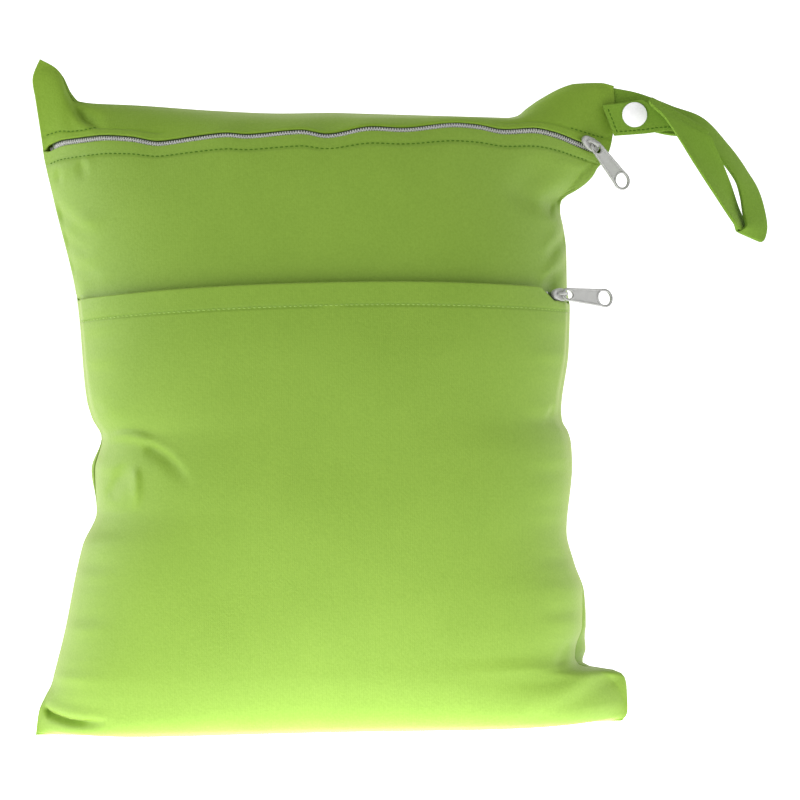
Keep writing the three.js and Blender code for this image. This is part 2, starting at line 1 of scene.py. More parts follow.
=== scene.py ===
# %% [markdown]
# # A filled cloth storage bag with two zips and a snap strap
#
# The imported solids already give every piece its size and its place. This lesson dresses them:
# the cloth gets its folds, hems and stitches, the zips get their teeth, and the small metal and
# resin parts get rounded edges. All sizes are in millimetres until a mesh is made.

# %% Load the frame
import json
import math

import bpy
import numpy as np
from mathutils import Matrix, Vector


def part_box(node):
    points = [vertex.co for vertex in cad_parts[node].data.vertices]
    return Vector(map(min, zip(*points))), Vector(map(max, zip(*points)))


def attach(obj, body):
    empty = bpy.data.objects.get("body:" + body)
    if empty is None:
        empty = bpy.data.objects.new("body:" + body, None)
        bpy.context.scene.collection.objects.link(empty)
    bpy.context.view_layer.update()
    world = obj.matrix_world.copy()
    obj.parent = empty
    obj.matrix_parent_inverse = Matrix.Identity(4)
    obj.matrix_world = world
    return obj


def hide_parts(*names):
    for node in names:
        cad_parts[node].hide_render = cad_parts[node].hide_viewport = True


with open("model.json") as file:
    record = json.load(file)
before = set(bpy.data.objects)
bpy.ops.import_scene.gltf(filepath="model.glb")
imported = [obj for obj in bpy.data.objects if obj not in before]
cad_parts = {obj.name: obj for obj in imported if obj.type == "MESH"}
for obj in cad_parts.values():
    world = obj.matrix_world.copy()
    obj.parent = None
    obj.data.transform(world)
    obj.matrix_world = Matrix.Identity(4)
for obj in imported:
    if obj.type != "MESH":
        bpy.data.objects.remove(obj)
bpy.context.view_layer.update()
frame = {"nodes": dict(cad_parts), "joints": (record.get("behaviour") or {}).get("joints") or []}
MM = 0.001
SEAM_Y = 4.0

# %% [markdown]
# ## Tools for shapes
#
# A sewn bag is all smooth change, so two small tools do most of the work: a soft step from 0
# to 1, and a smooth curve through a few chosen values that never overshoots them. Meshes are
# grids of points, put into Blender as whole arrays.


# %% Soft step, curve and mesh
def smoothstep(low, high, value):
    """0 below low, 1 above high, and 3t^2 - 2t^3 between them."""
    t = np.clip((value - low) / (high - low), 0, 1)
    return t * t * (3 - 2 * t)


def bell(value, width):
    """A bump of height 1: e to the power of minus (value over width) squared."""
    return np.exp(-((value / width) ** 2))


def cubic(t, start, start_slope, end, end_slope):
    """A cubic from start at t = 0 to end at t = 1 that leaves and arrives with the two slopes."""
    first = (2 * t**3 - 3 * t**2 + 1) * start + (t**3 - 2 * t**2 + t) * start_slope
    return first + (3 * t**2 - 2 * t**3) * end + (t**3 - t**2) * end_slope


def curve(xs, ys):
    """A cubic through the points whose slopes are harmonic means, so it never overshoots."""
    xs, ys = np.array(xs, float), np.array(ys, float)
    slopes = np.diff(ys) / np.diff(xs)
    a, b = slopes[:-1], slopes[1:]
    total = np.where(a * b > 0, a + b, 1)
    tangents = np.concatenate([slopes[:1], np.where(a * b > 0, 2 * a * b / total, 0), slopes[-1:]])

    def at(value):
        x = np.clip(value, xs[0], xs[-1])
        i = np.clip(np.searchsorted(xs, x) - 1, 0, len(xs) - 2)
        step = xs[i + 1] - xs[i]
        t = (x - xs[i]) / step
        return cubic(t, ys[i], step * tangents[i], ys[i + 1], step * tangents[i + 1])

    return at


def unit(vectors):
    """Vectors along the last axis, divided by their lengths."""
    return vectors / np.maximum(np.linalg.norm(vectors, axis=-1, keepdims=True), 1e-9)


def lengths_along(line):
    """The distance from the first point of a line to each of its points, along the line."""
    return np.concatenate([[0], np.cumsum(np.linalg.norm(np.diff(line, axis=0), axis=1))])


def sampled(stops, run, vectors):
    """Vectors given at the distances run, read off at the distances stops."""
    return np.stack([np.interp(stops, run, vectors[:, k]) for k in range(3)], axis=-1)


def grid_faces(rows, columns, wrap_rows=False, wrap_columns=False):
    """Four-sided faces of a grid of points that are numbered row by row."""
    r, c = np.meshgrid(
        np.arange(rows if wrap_rows else rows - 1),
        np.arange(columns if wrap_columns else columns - 1),
        indexing="ij",
    )
    r1, c1 = (r + 1) % rows, (c + 1) % columns
    corners = [r * columns + c, r * columns + c1, r1 * columns + c1, r1 * columns + c]
    return np.stack(corners, axis=-1).reshape(-1, 4)


def piece(name, places, faces, body="bag", slot=None, replaces=(), uv=None):
    """A mesh object from points in millimetres and four-sided faces, riding on a body."""
    places = np.asarray(places, float).reshape(-1, 3) + (0, SEAM_Y, 0)
    mesh = bpy.data.meshes.new(name)
    mesh.vertices.add(len(places))
    mesh.vertices.foreach_set("co", (places * MM).ravel())
    mesh.loops.add(faces.size)
    mesh.loops.foreach_set("vertex_index", faces.ravel())
    mesh.polygons.add(len(faces))
    mesh.polygons.foreach_set("loop_start", np.arange(0, faces.size, 4))
    mesh.polygons.foreach_set("use_smooth", np.ones(len(faces), bool))
    if uv is not None:
        layer = mesh.uv_layers.new(name="cut")
        layer.data.foreach_set("uv", (uv.reshape(-1, 2)[faces.ravel()] * MM).ravel())
    mesh.update(calc_edges=True)
    mesh.validate()
    made = bpy.data.objects.new(name, mesh)
    bpy.context.scene.collection.objects.link(made)
    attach(made, body)
    if replaces:
        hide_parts(*replaces)
    print(f"{name}: {len(faces)} faces")
    return made


def turned_outwards(places, faces):
    """The same faces, reversed where the closed shape they make has a negative volume."""
    a, b, c, d = (places.reshape(-1, 3)[faces[:, k]] for k in range(4))
    volume = np.einsum("ij,ij->i", a, np.cross(b, c) + np.cross(c, d)).sum()
    return faces if volume > 0 else faces[:, ::-1]


# %% [markdown]
# ## The form of the filled bag
#
# Two flat panels, 376 mm high, are sewn together all round and filled, so they swell in the
# middle, pinch at the side seams and leave soft ears at the four corners. The form is a
# function of two numbers: share, from the bottom seam to the top seam, and tau, from the left
# seam to the right seam. A table of rows says how high and how full each share is. Across the
# bag the fullness is (1 - s^round)^edge: an edge below 1/2 meets the seam as a round wall, and
# an edge above 1 runs out flat, as an ear does.

# %% Driving dimensions of the form
# In millimetres: the flat panel, the cloth's thickness, the gaps at a seam and between layers,
# and how far out the tips of the ears are.
FLAT_HEIGHT = 376.0
CLOTH = 1.4
SEAM_GAP = 0.3
LAYER_GAP = 0.5
LEFT_TIP = 147
RIGHT_TIP = 140
# As shares of the height: the main zip, the pocket's edge, where the pocket's thickness fades
# out above that edge, and how soon the layers are full beside the bottom and top seams.
MAIN_ZIP = 0.889
POCKET_EDGE = 0.688
POCKET_FADE = (0.02, 0.12)
SEAM_EASE = 0.03
PER_MM = 1 / FLAT_HEIGHT
# Powers that turn the cloth in at a side seam, the top's slope, and the lean to the right.
SEAM_TURN = 16
SEAM_POWER = 0.45
TOP_SLOPE = -0.05
LEAN = 0.021

# centre and side are heights in the middle and at the side seams, and bend shapes the change
# between them. front and back are depths. round and edge are powers for the left and the right.
PROFILE_COLUMNS = "share centre side bend front back round_l edge_l round_r edge_r".split()
PROFILE = np.array([
    (0.0, 0, 0, 6, 0, 0, 9, 1.2, 7, 1.3),
    (0.0585, 0, 4, 6, 22, 24, 8, 1.2, 6, 1.2),
    (0.0886, 2.5, 7, 6, 33, 34, 6, 1.1, 5, 1.1),
    (0.116, 9, 13, 5, 41, 40, 4.5, 0.95, 4.0, 0.85),
    (0.153, 22, 25, 4, 46, 44, 3.2, 0.55, 3.7, 0.8),
    (0.177, 31, 32, 4, 48, 46, 2.8, 0.46, 2.9, 0.48),
    (0.274, 67, 66, 3, 52, 49, 2.6, 0.44, 2.6, 0.44),
    (0.428, 125, 123, 2, 55, 51, 2.6, 0.44, 2.6, 0.44),
    (0.585, 184, 181, 2, 54, 50, 2.6, 0.44, 2.6, 0.44),
    (0.688, 222.5, 217, 2.2, 51, 48, 2.5, 0.44, 2.5, 0.445),
    (0.791, 261, 255, 2.4, 47, 45, 2.3, 0.5, 2.3, 0.5),
    (0.854, 284.5, 279, 2.6, 44, 42, 2.1, 0.65, 2.1, 0.72),
    (0.889, 297, 291, 2.6, 40, 39, 2.0, 0.8, 2.0, 0.9),
    (0.931, 304, 301, 3, 26, 26, 2.2, 0.95, 2.2, 1.0),
    (1.0, 308, 308, 4, 0, 0, 2.6, 1.1, 2.6, 1.1),
])
profile = {name: curve(PROFILE[:, 0], PROFILE[:, k]) for k, name in enumerate(PROFILE_COLUMNS)}

# How far each side seam reaches from the middle: (height, reach).
LEFT_OUTLINE = np.array([
    (0, 147.8), (8, 147), (14.7, 145.8), (19.7, 143.5), (26, 140.2), (32, 138.6), (50, 134),
    (95, 124.5), (112, 117.5), (132, 118.4), (148, 114.8), (158, 119.8), (168, 122.6), (215, 127),
    (267, 139), (289, 144), (296, 144.8), (318, 148), (327, 149.4), (338, 145.8),
])
RIGHT_OUTLINE = np.array([
    (0, 144.8), (3, 146.8), (8, 147.6), (20, 147), (24, 145.7), (26, 143), (27.2, 139.5),
    (28.2, 133.5), (29, 127), (30.4, 123), (34, 121.2), (38, 121.4), (50, 124.8), (66, 125),
    (81, 120.8), (97, 117), (130, 119.8), (140, 119.3), (146, 118), (152, 114.8), (157, 114.3),
    (187, 118), (209, 118.6), (217, 117.2), (237, 116.8), (249, 115.2), (256, 113.8), (260, 113.8),
    (263, 115.4), (266, 121), (270, 126.5), (275, 130.4), (281, 132.6), (288, 136.4), (296, 139.6),
    (305, 141.2), (319, 140.5),
])
# How wide the filled part of the right half is, without the steps of its seam: (height, reach).
RIGHT_BODY = np.array([
    (0, 147.3), (8, 147), (14, 145), (20, 142), (26, 137), (32, 130), (38, 125.5), (50, 126),
    (66, 125.8), (81, 122), (97, 118.5), (135, 121), (154, 116), (187, 119), (212, 119.5),
    (237, 118), (258, 116.5), (266, 119), (275, 124), (285, 132), (299, 142), (320, 150),
])
left_reach = curve(*LEFT_OUTLINE.T)
right_reach = curve(*RIGHT_OUTLINE.T)
right_body = curve(*RIGHT_BODY.T)

# The raised ears of the top seam: (distance from the middle, rise).
LEFT_EAR = np.array([
    (0, 0), (33, -1.2), (60, -0.7), (100, 0.9), (118, 1.2), (126, 2), (130, 6), (134, 14),
    (138, 18.5), (147, 23),
])
RIGHT_EAR = np.array([
    (0, 0), (87, 0), (92, 1), (97, 5), (104, 10), (116, 16.5), (121, 18), (134, 18.8), (141, 17.2),
])
# The front's left ear is narrower at its foot, so the back's shows beside it there.
LEFT_EAR_FRONT = np.array([
    (0, 0), (33, -1.2), (60, -0.7), (100, 0.9), (123, 1.2), (129, 2), (132, 7), (135, 15),
    (138, 18.5), (147, 23),
])
# The bottom seam touches the table at the left and lifts a little elsewhere: (x, rise).
BOTTOM = np.array([
    (-147, 0.8), (-130, 0.2), (-105, 0), (-72, 0.8), (-33, 2.0), (5, 2.5), (42, 1.6), (92, 0.7),
    (120, 1.0), (147, 2.0),
])
left_rise = curve(*LEFT_EAR.T)
left_rise_front = curve(*LEFT_EAR_FRONT.T)
right_rise = curve(*RIGHT_EAR.T)
bottom_rise = curve(*BOTTOM.T)

# %% [markdown]
# ## Folds
#
# Folds gather where the cloth is pinched: at the corners, beside the zip ends and at the side
# seams. Each one here is a valley along a short arc. Its left side, seen along the arc, is the
# lip of the fold, which is steeper and can hang over a little; the other side runs out softly.

# %% Fold tables
# From, bend and to are places on the front as (x, z). depth is the valley, lip and spread are
# the widths of its two sides, ridge stands proud beyond the lip, over moves the lip outwards.
FOLD_COLUMNS = "from_x from_z bend_x bend_z to_x to_z depth lip spread ridge over".split()
FRONT_FOLDS = np.array([
    (-121, 145, -86, 161, -66, 124, -2.5, 2.0, 2.6, 0.0, 0.0),
    (-94, 146, -80, 148, -67, 123, 3.2, 2.0, 5.0, 0.0, 0.8),
    (-97, 136, -94, 124, -97, 112, -2.2, 2.2, 3.2, 0.0, 0.0),
    (-112, 119, -106, 124, -99, 140, 2.4, 3.0, 4.5, 0.0, 0.0),
    (119, 263, 106, 263, 108, 250, 2.4, 1.6, 4.5, 0.8, 0.6),
    (104, 256, 112, 263, 128, 272, 2.4, 5.0, 8.0, 0.3, 0.0),
    (88, 259, 98, 270, 112, 284, 2.0, 8.0, 10.0, 0.0, 0.0),
    (-146, 18, -137, 8, -106, 9, 7.0, 1.6, 3.2, 1.2, 2.0),
    (86, 2, 120, 10, 152, 27, 1.2, 5.0, 9.0, 0.3, 0.0),
    (106, 159, 110, 157, 116, 154, 3.0, 2.5, 5.0, 0.5, 0.0),
    (105, 217, 112, 224, 121, 237, 3.6, 1.8, 3.6, 1.2, 0.3),
    (107, 233, 112, 239, 121, 252, 3.2, 1.8, 3.6, 1.0, 0.3),
    (-137, 282, -136, 278, -134, 275, 1.6, 1.6, 2.5, 0.3, 0.0),
    (-126, 285, -123, 282, -120, 279, 1.8, 1.8, 3.5, 0.4, 0.0),
    (-143, 268, -132, 255, -114, 246, 3.4, 3.0, 6.0, 0.8, 0.0),
    (-139, 254, -130, 244, -118, 239, 2.4, 2.4, 4.5, 0.6, 0.0),
    (-136, 241, -127, 231, -113, 227, 3.0, 2.8, 5.5, 0.8, 0.0),
    (-111, 302, -129, 302, -130, 324, 4.0, 1.4, 5.0, 0.6, 1.0),
    (114, 30, 111, 37, 121, 44, 1.8, 2.5, 4.0, 0.0, 0.0),
    (-123, 170, -117, 164, -110, 161, 1.6, 3.0, 5.0, 0.4, 0.0),
])
BACK_FOLDS = np.array([
    (-122, 126, -92, 118, -66, 132, 8.0, 8.0, 12.0, 1.0, 0.0),
    (66, 150, 92, 166, 120, 176, 7.0, 7.0, 12.0, 1.0, 0.0),
    (-128, 284, -110, 274, -92, 250, 5.0, 7.0, 10.0, 0.5, 0.0),
    (88, 252, 108, 262, 130, 280, 6.0, 5.0, 9.0, 0.8, 1.0),
    (-143, 18, -126, 12, -92, 14, 8.0, 4.0, 8.0, 1.0, 1.0),
    (92, 4, 118, 9, 148, 24, 6.0, 7.0, 9.0, 0.5, 0.0),
])
ARC_STEPS = 40


def fold_field(folds, x, z):
    """Depth, and sideways moves in x and z, of all folds at the places (x, z).

    For each fold the nearest point of its arc is found among equal steps, and the signed
    distance d to it is measured. The valley is a bell of width lip or spread, the ridge is a
    bell two lip widths beyond it, and all fade towards both ends of the arc."""
    depth, move_x, move_z = (np.zeros_like(x) for _ in range(3))
    t = np.linspace(0, 1, ARC_STEPS)
    weights = np.stack([(1 - t) ** 2, 2 * t * (1 - t), t**2])
    for row in folds:
        fold = dict(zip(FOLD_COLUMNS, row))
        px = np.array([fold["from_x"], fold["bend_x"], fold["to_x"]]) @ weights
        pz = np.array([fold["from_z"], fold["bend_z"], fold["to_z"]]) @ weights
        tx, tz = np.gradient(px), np.gradient(pz)
        size = np.hypot(tx, tz)
        away_x, away_z = x[..., None] - px, z[..., None] - pz
        near = np.argmin(away_x**2 + away_z**2, axis=-1)
        dx = np.take_along_axis(away_x, near[..., None], -1)[..., 0]
        dz = np.take_along_axis(away_z, near[..., None], -1)[..., 0]
        side_x, side_z = -(tz / size)[near], (tx / size)[near]
        side = np.where(dx * side_x + dz * side_z > 0, 1, -1)
        d = side * np.hypot(dx, dz)
        fade = smoothstep(0, 0.3, t[near]) * smoothstep(0, 0.45, 1 - t[near])
        valley = np.where(d > 0, bell(d, fold["lip"]), bell(d, fold["spread"]))
        ridge = bell(d - 2 * fold["lip"], 1.5 * fold["lip"])
        depth += fade * (fold["depth"] * valley - fold["ridge"] * ridge)
        over = fade * fold["over"] * bell(d - fold["lip"], fold["lip"])
        move_x -= over * side_x
        move_z -= over * side_z
    return depth, move_x, move_z


print(len(FRONT_FOLDS), "folds on the front,", len(BACK_FOLDS), "on the back")

# %% [markdown]
# ## Zip wave, puckers and bulges
#
# A zip tape is stiffer than the knit, so the cloth shrinks along it into a wave, which a short
# table follows. The side seams pucker lightly, as sums of waves whose pitches don't divide each
# other, so the pattern never repeats in sight. Where the filling presses sideways, the back
# bulges past the seam and shows beside it.

# %% Waves, bulges and corners
ZIP_FADE = 14
# The zip's height over its smooth line, from the left to the right: (x, rise).
ZIP_LINE = np.array([
    (-144, 0.5), (-132, 3.4), (-116, 3.4), (-100, 1.4), (-84, -2.2), (-68, -1.0), (-52, 0),
    (-41, -1.2), (-15, 0.2), (-2, -2.1), (20, 1.2), (35, 0.4), (62, 3.0), (72, 2.4), (85, 0.4),
    (101, 1.7), (110, 0.4), (123, -3.6), (133, -6.5),
])
zip_rise = curve(*ZIP_LINE.T)
# Waves beside the seams: (height, pitch, start), and over the panels: (height, two pitches, start).
PUCKERS = [(0.5, 23, 0.3), (0.35, 13.7, 1.9), (0.18, 8.9, 4.1)]
SWELLS = [(0.3, 131, 97, 0.6), (0.2, 83, 143, 2.2)]
# Bulges of the back past a side seam: (side, height, half height, size).
BULGES = [(1, 36, 8.5, 8.5), (1, 54, 20, 5.8), (-1, 133, 15, 6.2)]
BULGE_FROM = 0.5
# The flat corner at the bottom right, pressed out above a slanting crease: from and to as (x, z).
CORNER = {
    "from": (99, 4), "to": (145, 23), "soft": 12, "thin": 2.0, "full": 12.0, "start": 30,
    "seam": (1, 6), "top": (24, 34),
}
# The flare beside the zip's right end, nearly flat between two heights.
FLARE = {"low": 262, "high": 299, "full": 3.0}


def under_pocket(share):
    """Thickness of the pocket and its gap, fading out above the pocket's edge."""
    low, high = POCKET_FADE
    return (CLOTH + LAYER_GAP) * (1 - smoothstep(POCKET_EDGE + low, POCKET_EDGE + high, share))


def corners(x, z):
    """Depth of the right half's flat corners, full above the crease.

    The bottom corner is a soft step from its crease up, and fades to the bottom seam, to the
    middle and to its top. The flare is a half wave over its heights."""
    (from_x, from_z), (to_x, to_z) = CORNER["from"], CORNER["to"]
    crease = from_z + (x - from_x) * (to_z - from_z) / (to_x - from_x)
    above = smoothstep(0, CORNER["soft"], z - crease)
    low = CORNER["thin"] + (CORNER["full"] - CORNER["thin"]) * above
    low = low * smoothstep(0, CORNER["start"], x - from_x) * smoothstep(*CORNER["seam"], z)
    low = low * (1 - smoothstep(*CORNER["top"], z))
    t = np.clip((z - FLARE["low"]) / (FLARE["high"] - FLARE["low"]), 0, 1)
    return low + FLARE["full"] * np.sin(np.pi * t)


def bulge(tau, z):
    """How far the back moves outwards: a bell over the height, a half wave towards the seam."""
    near = np.sin(np.pi * np.clip((np.abs(tau) - BULGE_FROM) / (1 - BULGE_FROM), 0, 1))
    sizes = [
        size * bell(z - height, tall) * (tau * side > 0) for side, height, tall, size in BULGES
    ]
    return near * sum(sizes)


print("the zip waves from", ZIP_LINE[:, 1].min(), "to", ZIP_LINE[:, 1].max(), "mm")

# %% [markdown]
# ## The cloth surface
#
# All of it meets in one function. It finds each point's place across and up the bag, then how
# far the cloth stands out there, and takes the folds, puckers and swells off that depth. Soft
# steps keep each effect away from the places that must stay smooth or sewn flat.

# %% The cloth surface
# Steps from nothing to full, by s towards a side seam:
PUCKER_SIDE = (0.78, 0.97)
# By share, from the bottom seam up, where the last one ends an effect:
BOTTOM_FLAT = (0, 0.1)
FOLD_START = (0.03, 0.1)
SWELL_START = (0.1, 0.25)
PUCKER_START = (0.12, 0.2)
PUCKER_END = (0.86, 0.9)
# By tau, from the middle to a side seam:
LOOSE_END = (0.88, 1)
LAY_FLAT = (0.75, 0.95)
LAY_ROUND = (0.8, 1)
# By the edge column, from a round wall to a flat ear, and by depth, so that no dent is too deep:
FLAT_EDGE = (0.5, 1.0)
DENT_ROOM = (0, 6)


def cloth(half, tau, share):
    """The outermost cloth of one half, front -1 or back 1, as points from the seam plane.

    Across the bag the distance is the reach of the seam times s, the sine of tau. The depth is
    the fullness of the row times (1 - f^round)^edge, where f is that distance over the filled
    width. It is joined with the flat corners, turned in at the seam by
    (1 - s^SEAM_TURN)^SEAM_POWER, and loses the folds, puckers and swells."""
    tau, share = np.broadcast_arrays(np.asarray(tau, float), np.asarray(share, float))
    right, a = tau > 0, np.abs(tau)
    row = {name: at(share) for name, at in profile.items()}
    climb = smoothstep(MAIN_ZIP, 1, share)
    tip_rise = np.where(right, RIGHT_EAR[-1, 1], LEFT_EAR[-1, 1])
    seam_rise = tip_rise + TOP_SLOPE * np.where(right, RIGHT_TIP, -LEFT_TIP)
    seam_height = row["side"] + climb * seam_rise
    reach = np.where(right, right_reach(seam_height), left_reach(seam_height))
    body = np.where(right, right_body(seam_height), reach)
    s = np.sin(np.pi / 2 * a)
    across = reach * s
    x = np.where(right, across, -across)

    z = row["centre"] + (row["side"] - row["centre"]) * s ** row["bend"]
    left_ear = (left_rise if half > 0 else left_rise_front)(across)
    z = z + climb * (np.where(right, right_rise(across), left_ear) + TOP_SLOPE * x)
    z = z + bottom_rise(x) * (1 - smoothstep(*BOTTOM_FLAT, share))
    if half < 0:
        z = z + bell((share - MAIN_ZIP) * FLAT_HEIGHT, ZIP_FADE) * zip_rise(x)

    edge = np.where(right, row["edge_r"], row["edge_l"])
    filled = np.minimum(across / body, 1)
    fullness = (1 - filled ** np.where(right, row["round_r"], row["round_l"])) ** edge
    depth = np.hypot(row["front" if half < 0 else "back"] * fullness, right * corners(x, z))
    depth = depth * (1 - s**SEAM_TURN) ** SEAM_POWER
    dent, move_x, move_z = fold_field(FRONT_FOLDS if half < 0 else BACK_FOLDS, x, z)
    along = share * FLAT_HEIGHT
    by_seam = smoothstep(*PUCKER_SIDE, s) * smoothstep(*PUCKER_START, share)
    by_seam = by_seam * (1 - smoothstep(*PUCKER_END, share))
    for height, pitch, start in PUCKERS:
        dent = dent + height * by_seam * np.sin(2 * np.pi * along / pitch + start + half + right)
    for height, pitch_x, pitch_z, start in SWELLS:
        wave = np.sin(2 * np.pi * x / pitch_x + start)
        wave = wave * np.sin(2 * np.pi * z / pitch_z + start + half)
        dent = dent + height * wave * smoothstep(*SWELL_START, share)
    settle = smoothstep(*FOLD_START, share)
    depth = np.maximum(depth - dent * settle * smoothstep(*DENT_ROOM, depth), 0)
    loose = settle * (1 - smoothstep(*LOOSE_END, a))
    x, z = x + move_x * loose, z + move_z * loose
    if half > 0:
        x = x + np.sign(tau) * bulge(tau, z)

    layers = CLOTH + under_pocket(share) if half < 0 else CLOTH
    flat = smoothstep(*FLAT_EDGE, edge)
    ease = smoothstep(0, SEAM_EASE, share) * smoothstep(0, SEAM_EASE, 1 - share)
    ease = ease * (1 - (1 - flat) * smoothstep(*LAY_ROUND, a))
    lay = np.maximum(smoothstep(*LAY_FLAT, a) * flat, ease)
    y = half * (SEAM_GAP / 2 + layers * lay + depth)
    z = np.maximum(z, 0)
    return np.stack([x + LEAN * z, y, z], axis=-1)


middle = cloth(-1, 0.0, 0.5)
print("middle of the front at", np.round(middle, 1).tolist())

# %% [markdown]
# ## Panels
#
# Each panel is a thin closed sheet: an outer grid on the form, an inner grid one cloth
# thickness below it, and edges that round off to the middle of the cloth, as a turned edge
# does. Rows and columns lie closer together at the edges to draw that round.


# %% Sheet builder
EDGE_STEPS = np.array([0, 0.04, 0.15, 0.4, 0.8])
SIDE_STEPS = np.array([0, 0.0006, 0.002, 0.004, 0.007])
COLUMNS = 240


def spread_rows(length, count):
    """Distances from 0 to length: five steps on each rounded edge, even steps between."""
    edge = EDGE_STEPS * CLOTH
    between = np.linspace(edge[-1], length - edge[-1], count)[1:-1]
    return np.concatenate([edge, between, length - edge[::-1]])


def spread_columns(count=COLUMNS):
    """Values of tau from seam to seam, with five steps close to each seam."""
    body = np.linspace(-1, 1, count)[2:-2]
    return np.concatenate([-1 + SIDE_STEPS, body, 1 - SIDE_STEPS[::-1]])


def rounding(distance, thick):
    """How far an edge drops below the face: a quarter circle over the last half thickness."""
    t = 1 - np.clip(distance / (thick / 2), 0, 1)
    return thick / 2 * (1 - np.sqrt(1 - t * t))


def normals(points, half):
    """Outward unit normals of a grid of points, from its two sets of differences."""
    across = np.gradient(points, axis=1)
    up = np.gradient(points, axis=0)
    return unit(np.cross(across, up)) * -half


def panel(name, half, low, high, count, offset, thick=CLOTH, ends=None, slot="cloth", **facts):
    """A closed sheet between two edges; low and high are shares, offset(tau, share) sinks it.

    It runs from seam to seam, or between the two values of tau in ends."""
    tau = (spread_columns() if ends is None else np.linspace(*ends, COLUMNS))[None, :]
    first, last = low(tau), high(tau)
    length = (last - first) * FLAT_HEIGHT
    steps = spread_rows(length.mean(), count)[:, None] / length.mean()
    share = first + (last - first) * steps
    from_edge = np.minimum(steps, 1 - steps) * length
    face = cloth(half, tau, share)
    run = np.cumsum(np.linalg.norm(np.diff(face, axis=1, prepend=face[:, :1]), axis=2), axis=1)
    from_side = np.minimum(run, run[:, -1:] - run)
    drop = rounding(np.minimum(from_edge, from_side), thick)
    out = normals(face, half)
    sink = offset(tau, share)
    outer = face - out * (sink + drop)[..., None]
    inner = face - out * (sink + thick - drop)[..., None]
    for layer in (outer, inner):
        layer[..., 1] = half * np.maximum(half * layer[..., 1], SEAM_GAP / 2)
        layer[..., 2] = np.maximum(layer[..., 2], 0)
    r, c = share.shape
    index = np.arange(r * c).reshape(r, c)
    under = index + r * c
    for edge in (np.s_[0, :], np.s_[-1, :], np.s_[:, 0], np.s_[:, -1]):
        under[edge] = index[edge]
    outside = grid_faces(r, c)
    inside = under.ravel()[outside][:, ::-1]
    places = np.concatenate([outer.reshape(-1, 3), inner.reshape(-1, 3)])
    faces = turned_outwards(places, np.concatenate([outside, inside]))
    middle = run[:, [c // 2]]
    cut = np.stack([run - middle, share * FLAT_HEIGHT], axis=-1).reshape(-1, 2)
    used = np.unique(faces)
    places = places[used]
    faces = np.searchsorted(used, faces)
    return piece(name, places, faces, uv=np.concatenate([cut, cut])[used], slot=slot, **facts)


# %% [markdown]
# ## The four cloth panels
#
# The back is one sheet. The front is split by the main zip into the large panel and the top
# strip, and the pocket lies over the large panel up to its lapped hem, which stands a little
# proud so that it covers the pocket's zip.

# %% Edges and lifts of the panels
# Sizes in millimetres.
SLOT_HALF = 1.7
POCKET_LIFT = 2.9
POCKET_LAP = 10
POCKET_RAMP = 95
POCKET_DIP = 7
HIDDEN_SINK = 2.0
STRIP_LIFT = 0.5
STRIP_LAP = 9
# Shares of the height, or of the slot.
FRONT_START = 0.006
SLOT_OVER = 1.25
SLOT_CLOSED = 0.8
HIDDEN_TOP = (-0.06, -0.03)
BARE_TOP = (-0.001, 0.006)
# Steps of tau towards the seams, where the slot closes and the lifted edges lie down.
SLOT_ENDS = (0.86, 0.92)
LIFT_ENDS = (0.8, 0.9)
HIDDEN_ENDS = (0.72, 0.9)
DIP_START = (0.654, 0.735)


def bottom(tau):
    """The bottom seam."""
    return np.zeros_like(tau)


def in_pocket(tau):
    """The front panel's lower edge, a little above the pocket's so that it stays hidden."""
    return np.full_like(tau, FRONT_START)


def top(tau):
    """The top seam."""
    return np.ones_like(tau)


def zip_slot(tau):
    """Half the zip's open slot as a share, closing towards both ends."""
    return SLOT_HALF * PER_MM * (1 - SLOT_CLOSED * smoothstep(*SLOT_ENDS, np.abs(tau)))


def under_zip(tau):
    """The lower edge of the main zip's slot."""
    return MAIN_ZIP - zip_slot(tau)


def over_zip(tau):
    """The upper edge of the main zip's slot, which leaves a gap over the coil: a thin line of
    real shade and of painted shade, the tape's dark colour.
    """
    return MAIN_ZIP + SLOT_OVER * zip_slot(tau)


def pocket_top(tau):
    """The pocket's hem, which dips at the right to clear the slider."""
    return POCKET_EDGE - POCKET_DIP * PER_MM * smoothstep(*DIP_START, tau)


def pocket_lift(tau, share):
    """How far the hem stands proud, as a negative sink, fading at the sides."""
    lap = smoothstep(POCKET_EDGE - POCKET_RAMP * PER_MM, POCKET_EDGE - POCKET_LAP * PER_MM, share)
    return -POCKET_LIFT * lap * (1 - smoothstep(*LIFT_ENDS, np.abs(tau)))


def behind_pocket(tau, share):
    """The front panel's sink: under the pocket, more where nobody sees it, none at bare seams."""
    hidden = HIDDEN_SINK * (1 - smoothstep(*(POCKET_EDGE + np.array(HIDDEN_TOP)), share))
    bare = smoothstep(pocket_top(tau) + BARE_TOP[0], pocket_top(tau) + BARE_TOP[1], share)
    middle = 1 - smoothstep(*HIDDEN_ENDS, np.abs(tau))
    return under_pocket(share) * (1 - bare * (1 - middle)) + hidden * middle


def strip_lift(tau, share):
    """The strip's lower edge stands proud over the coil, as a negative sink."""
    near = 1 - smoothstep(MAIN_ZIP, MAIN_ZIP + STRIP_LAP * PER_MM, share)
    return -STRIP_LIFT * near * (1 - smoothstep(*LIFT_ENDS, np.abs(tau)))


def flush(tau, share):
    """No sink at all."""
    return np.zeros_like(tau * share)


print("the main zip's slot is", SLOT_HALF * (1 + SLOT_OVER), "mm wide in the middle")

# %% [markdown]
# With their edges and sinks settled, the panels are cut. Only the number of rows differs: more
# where small folds need them.

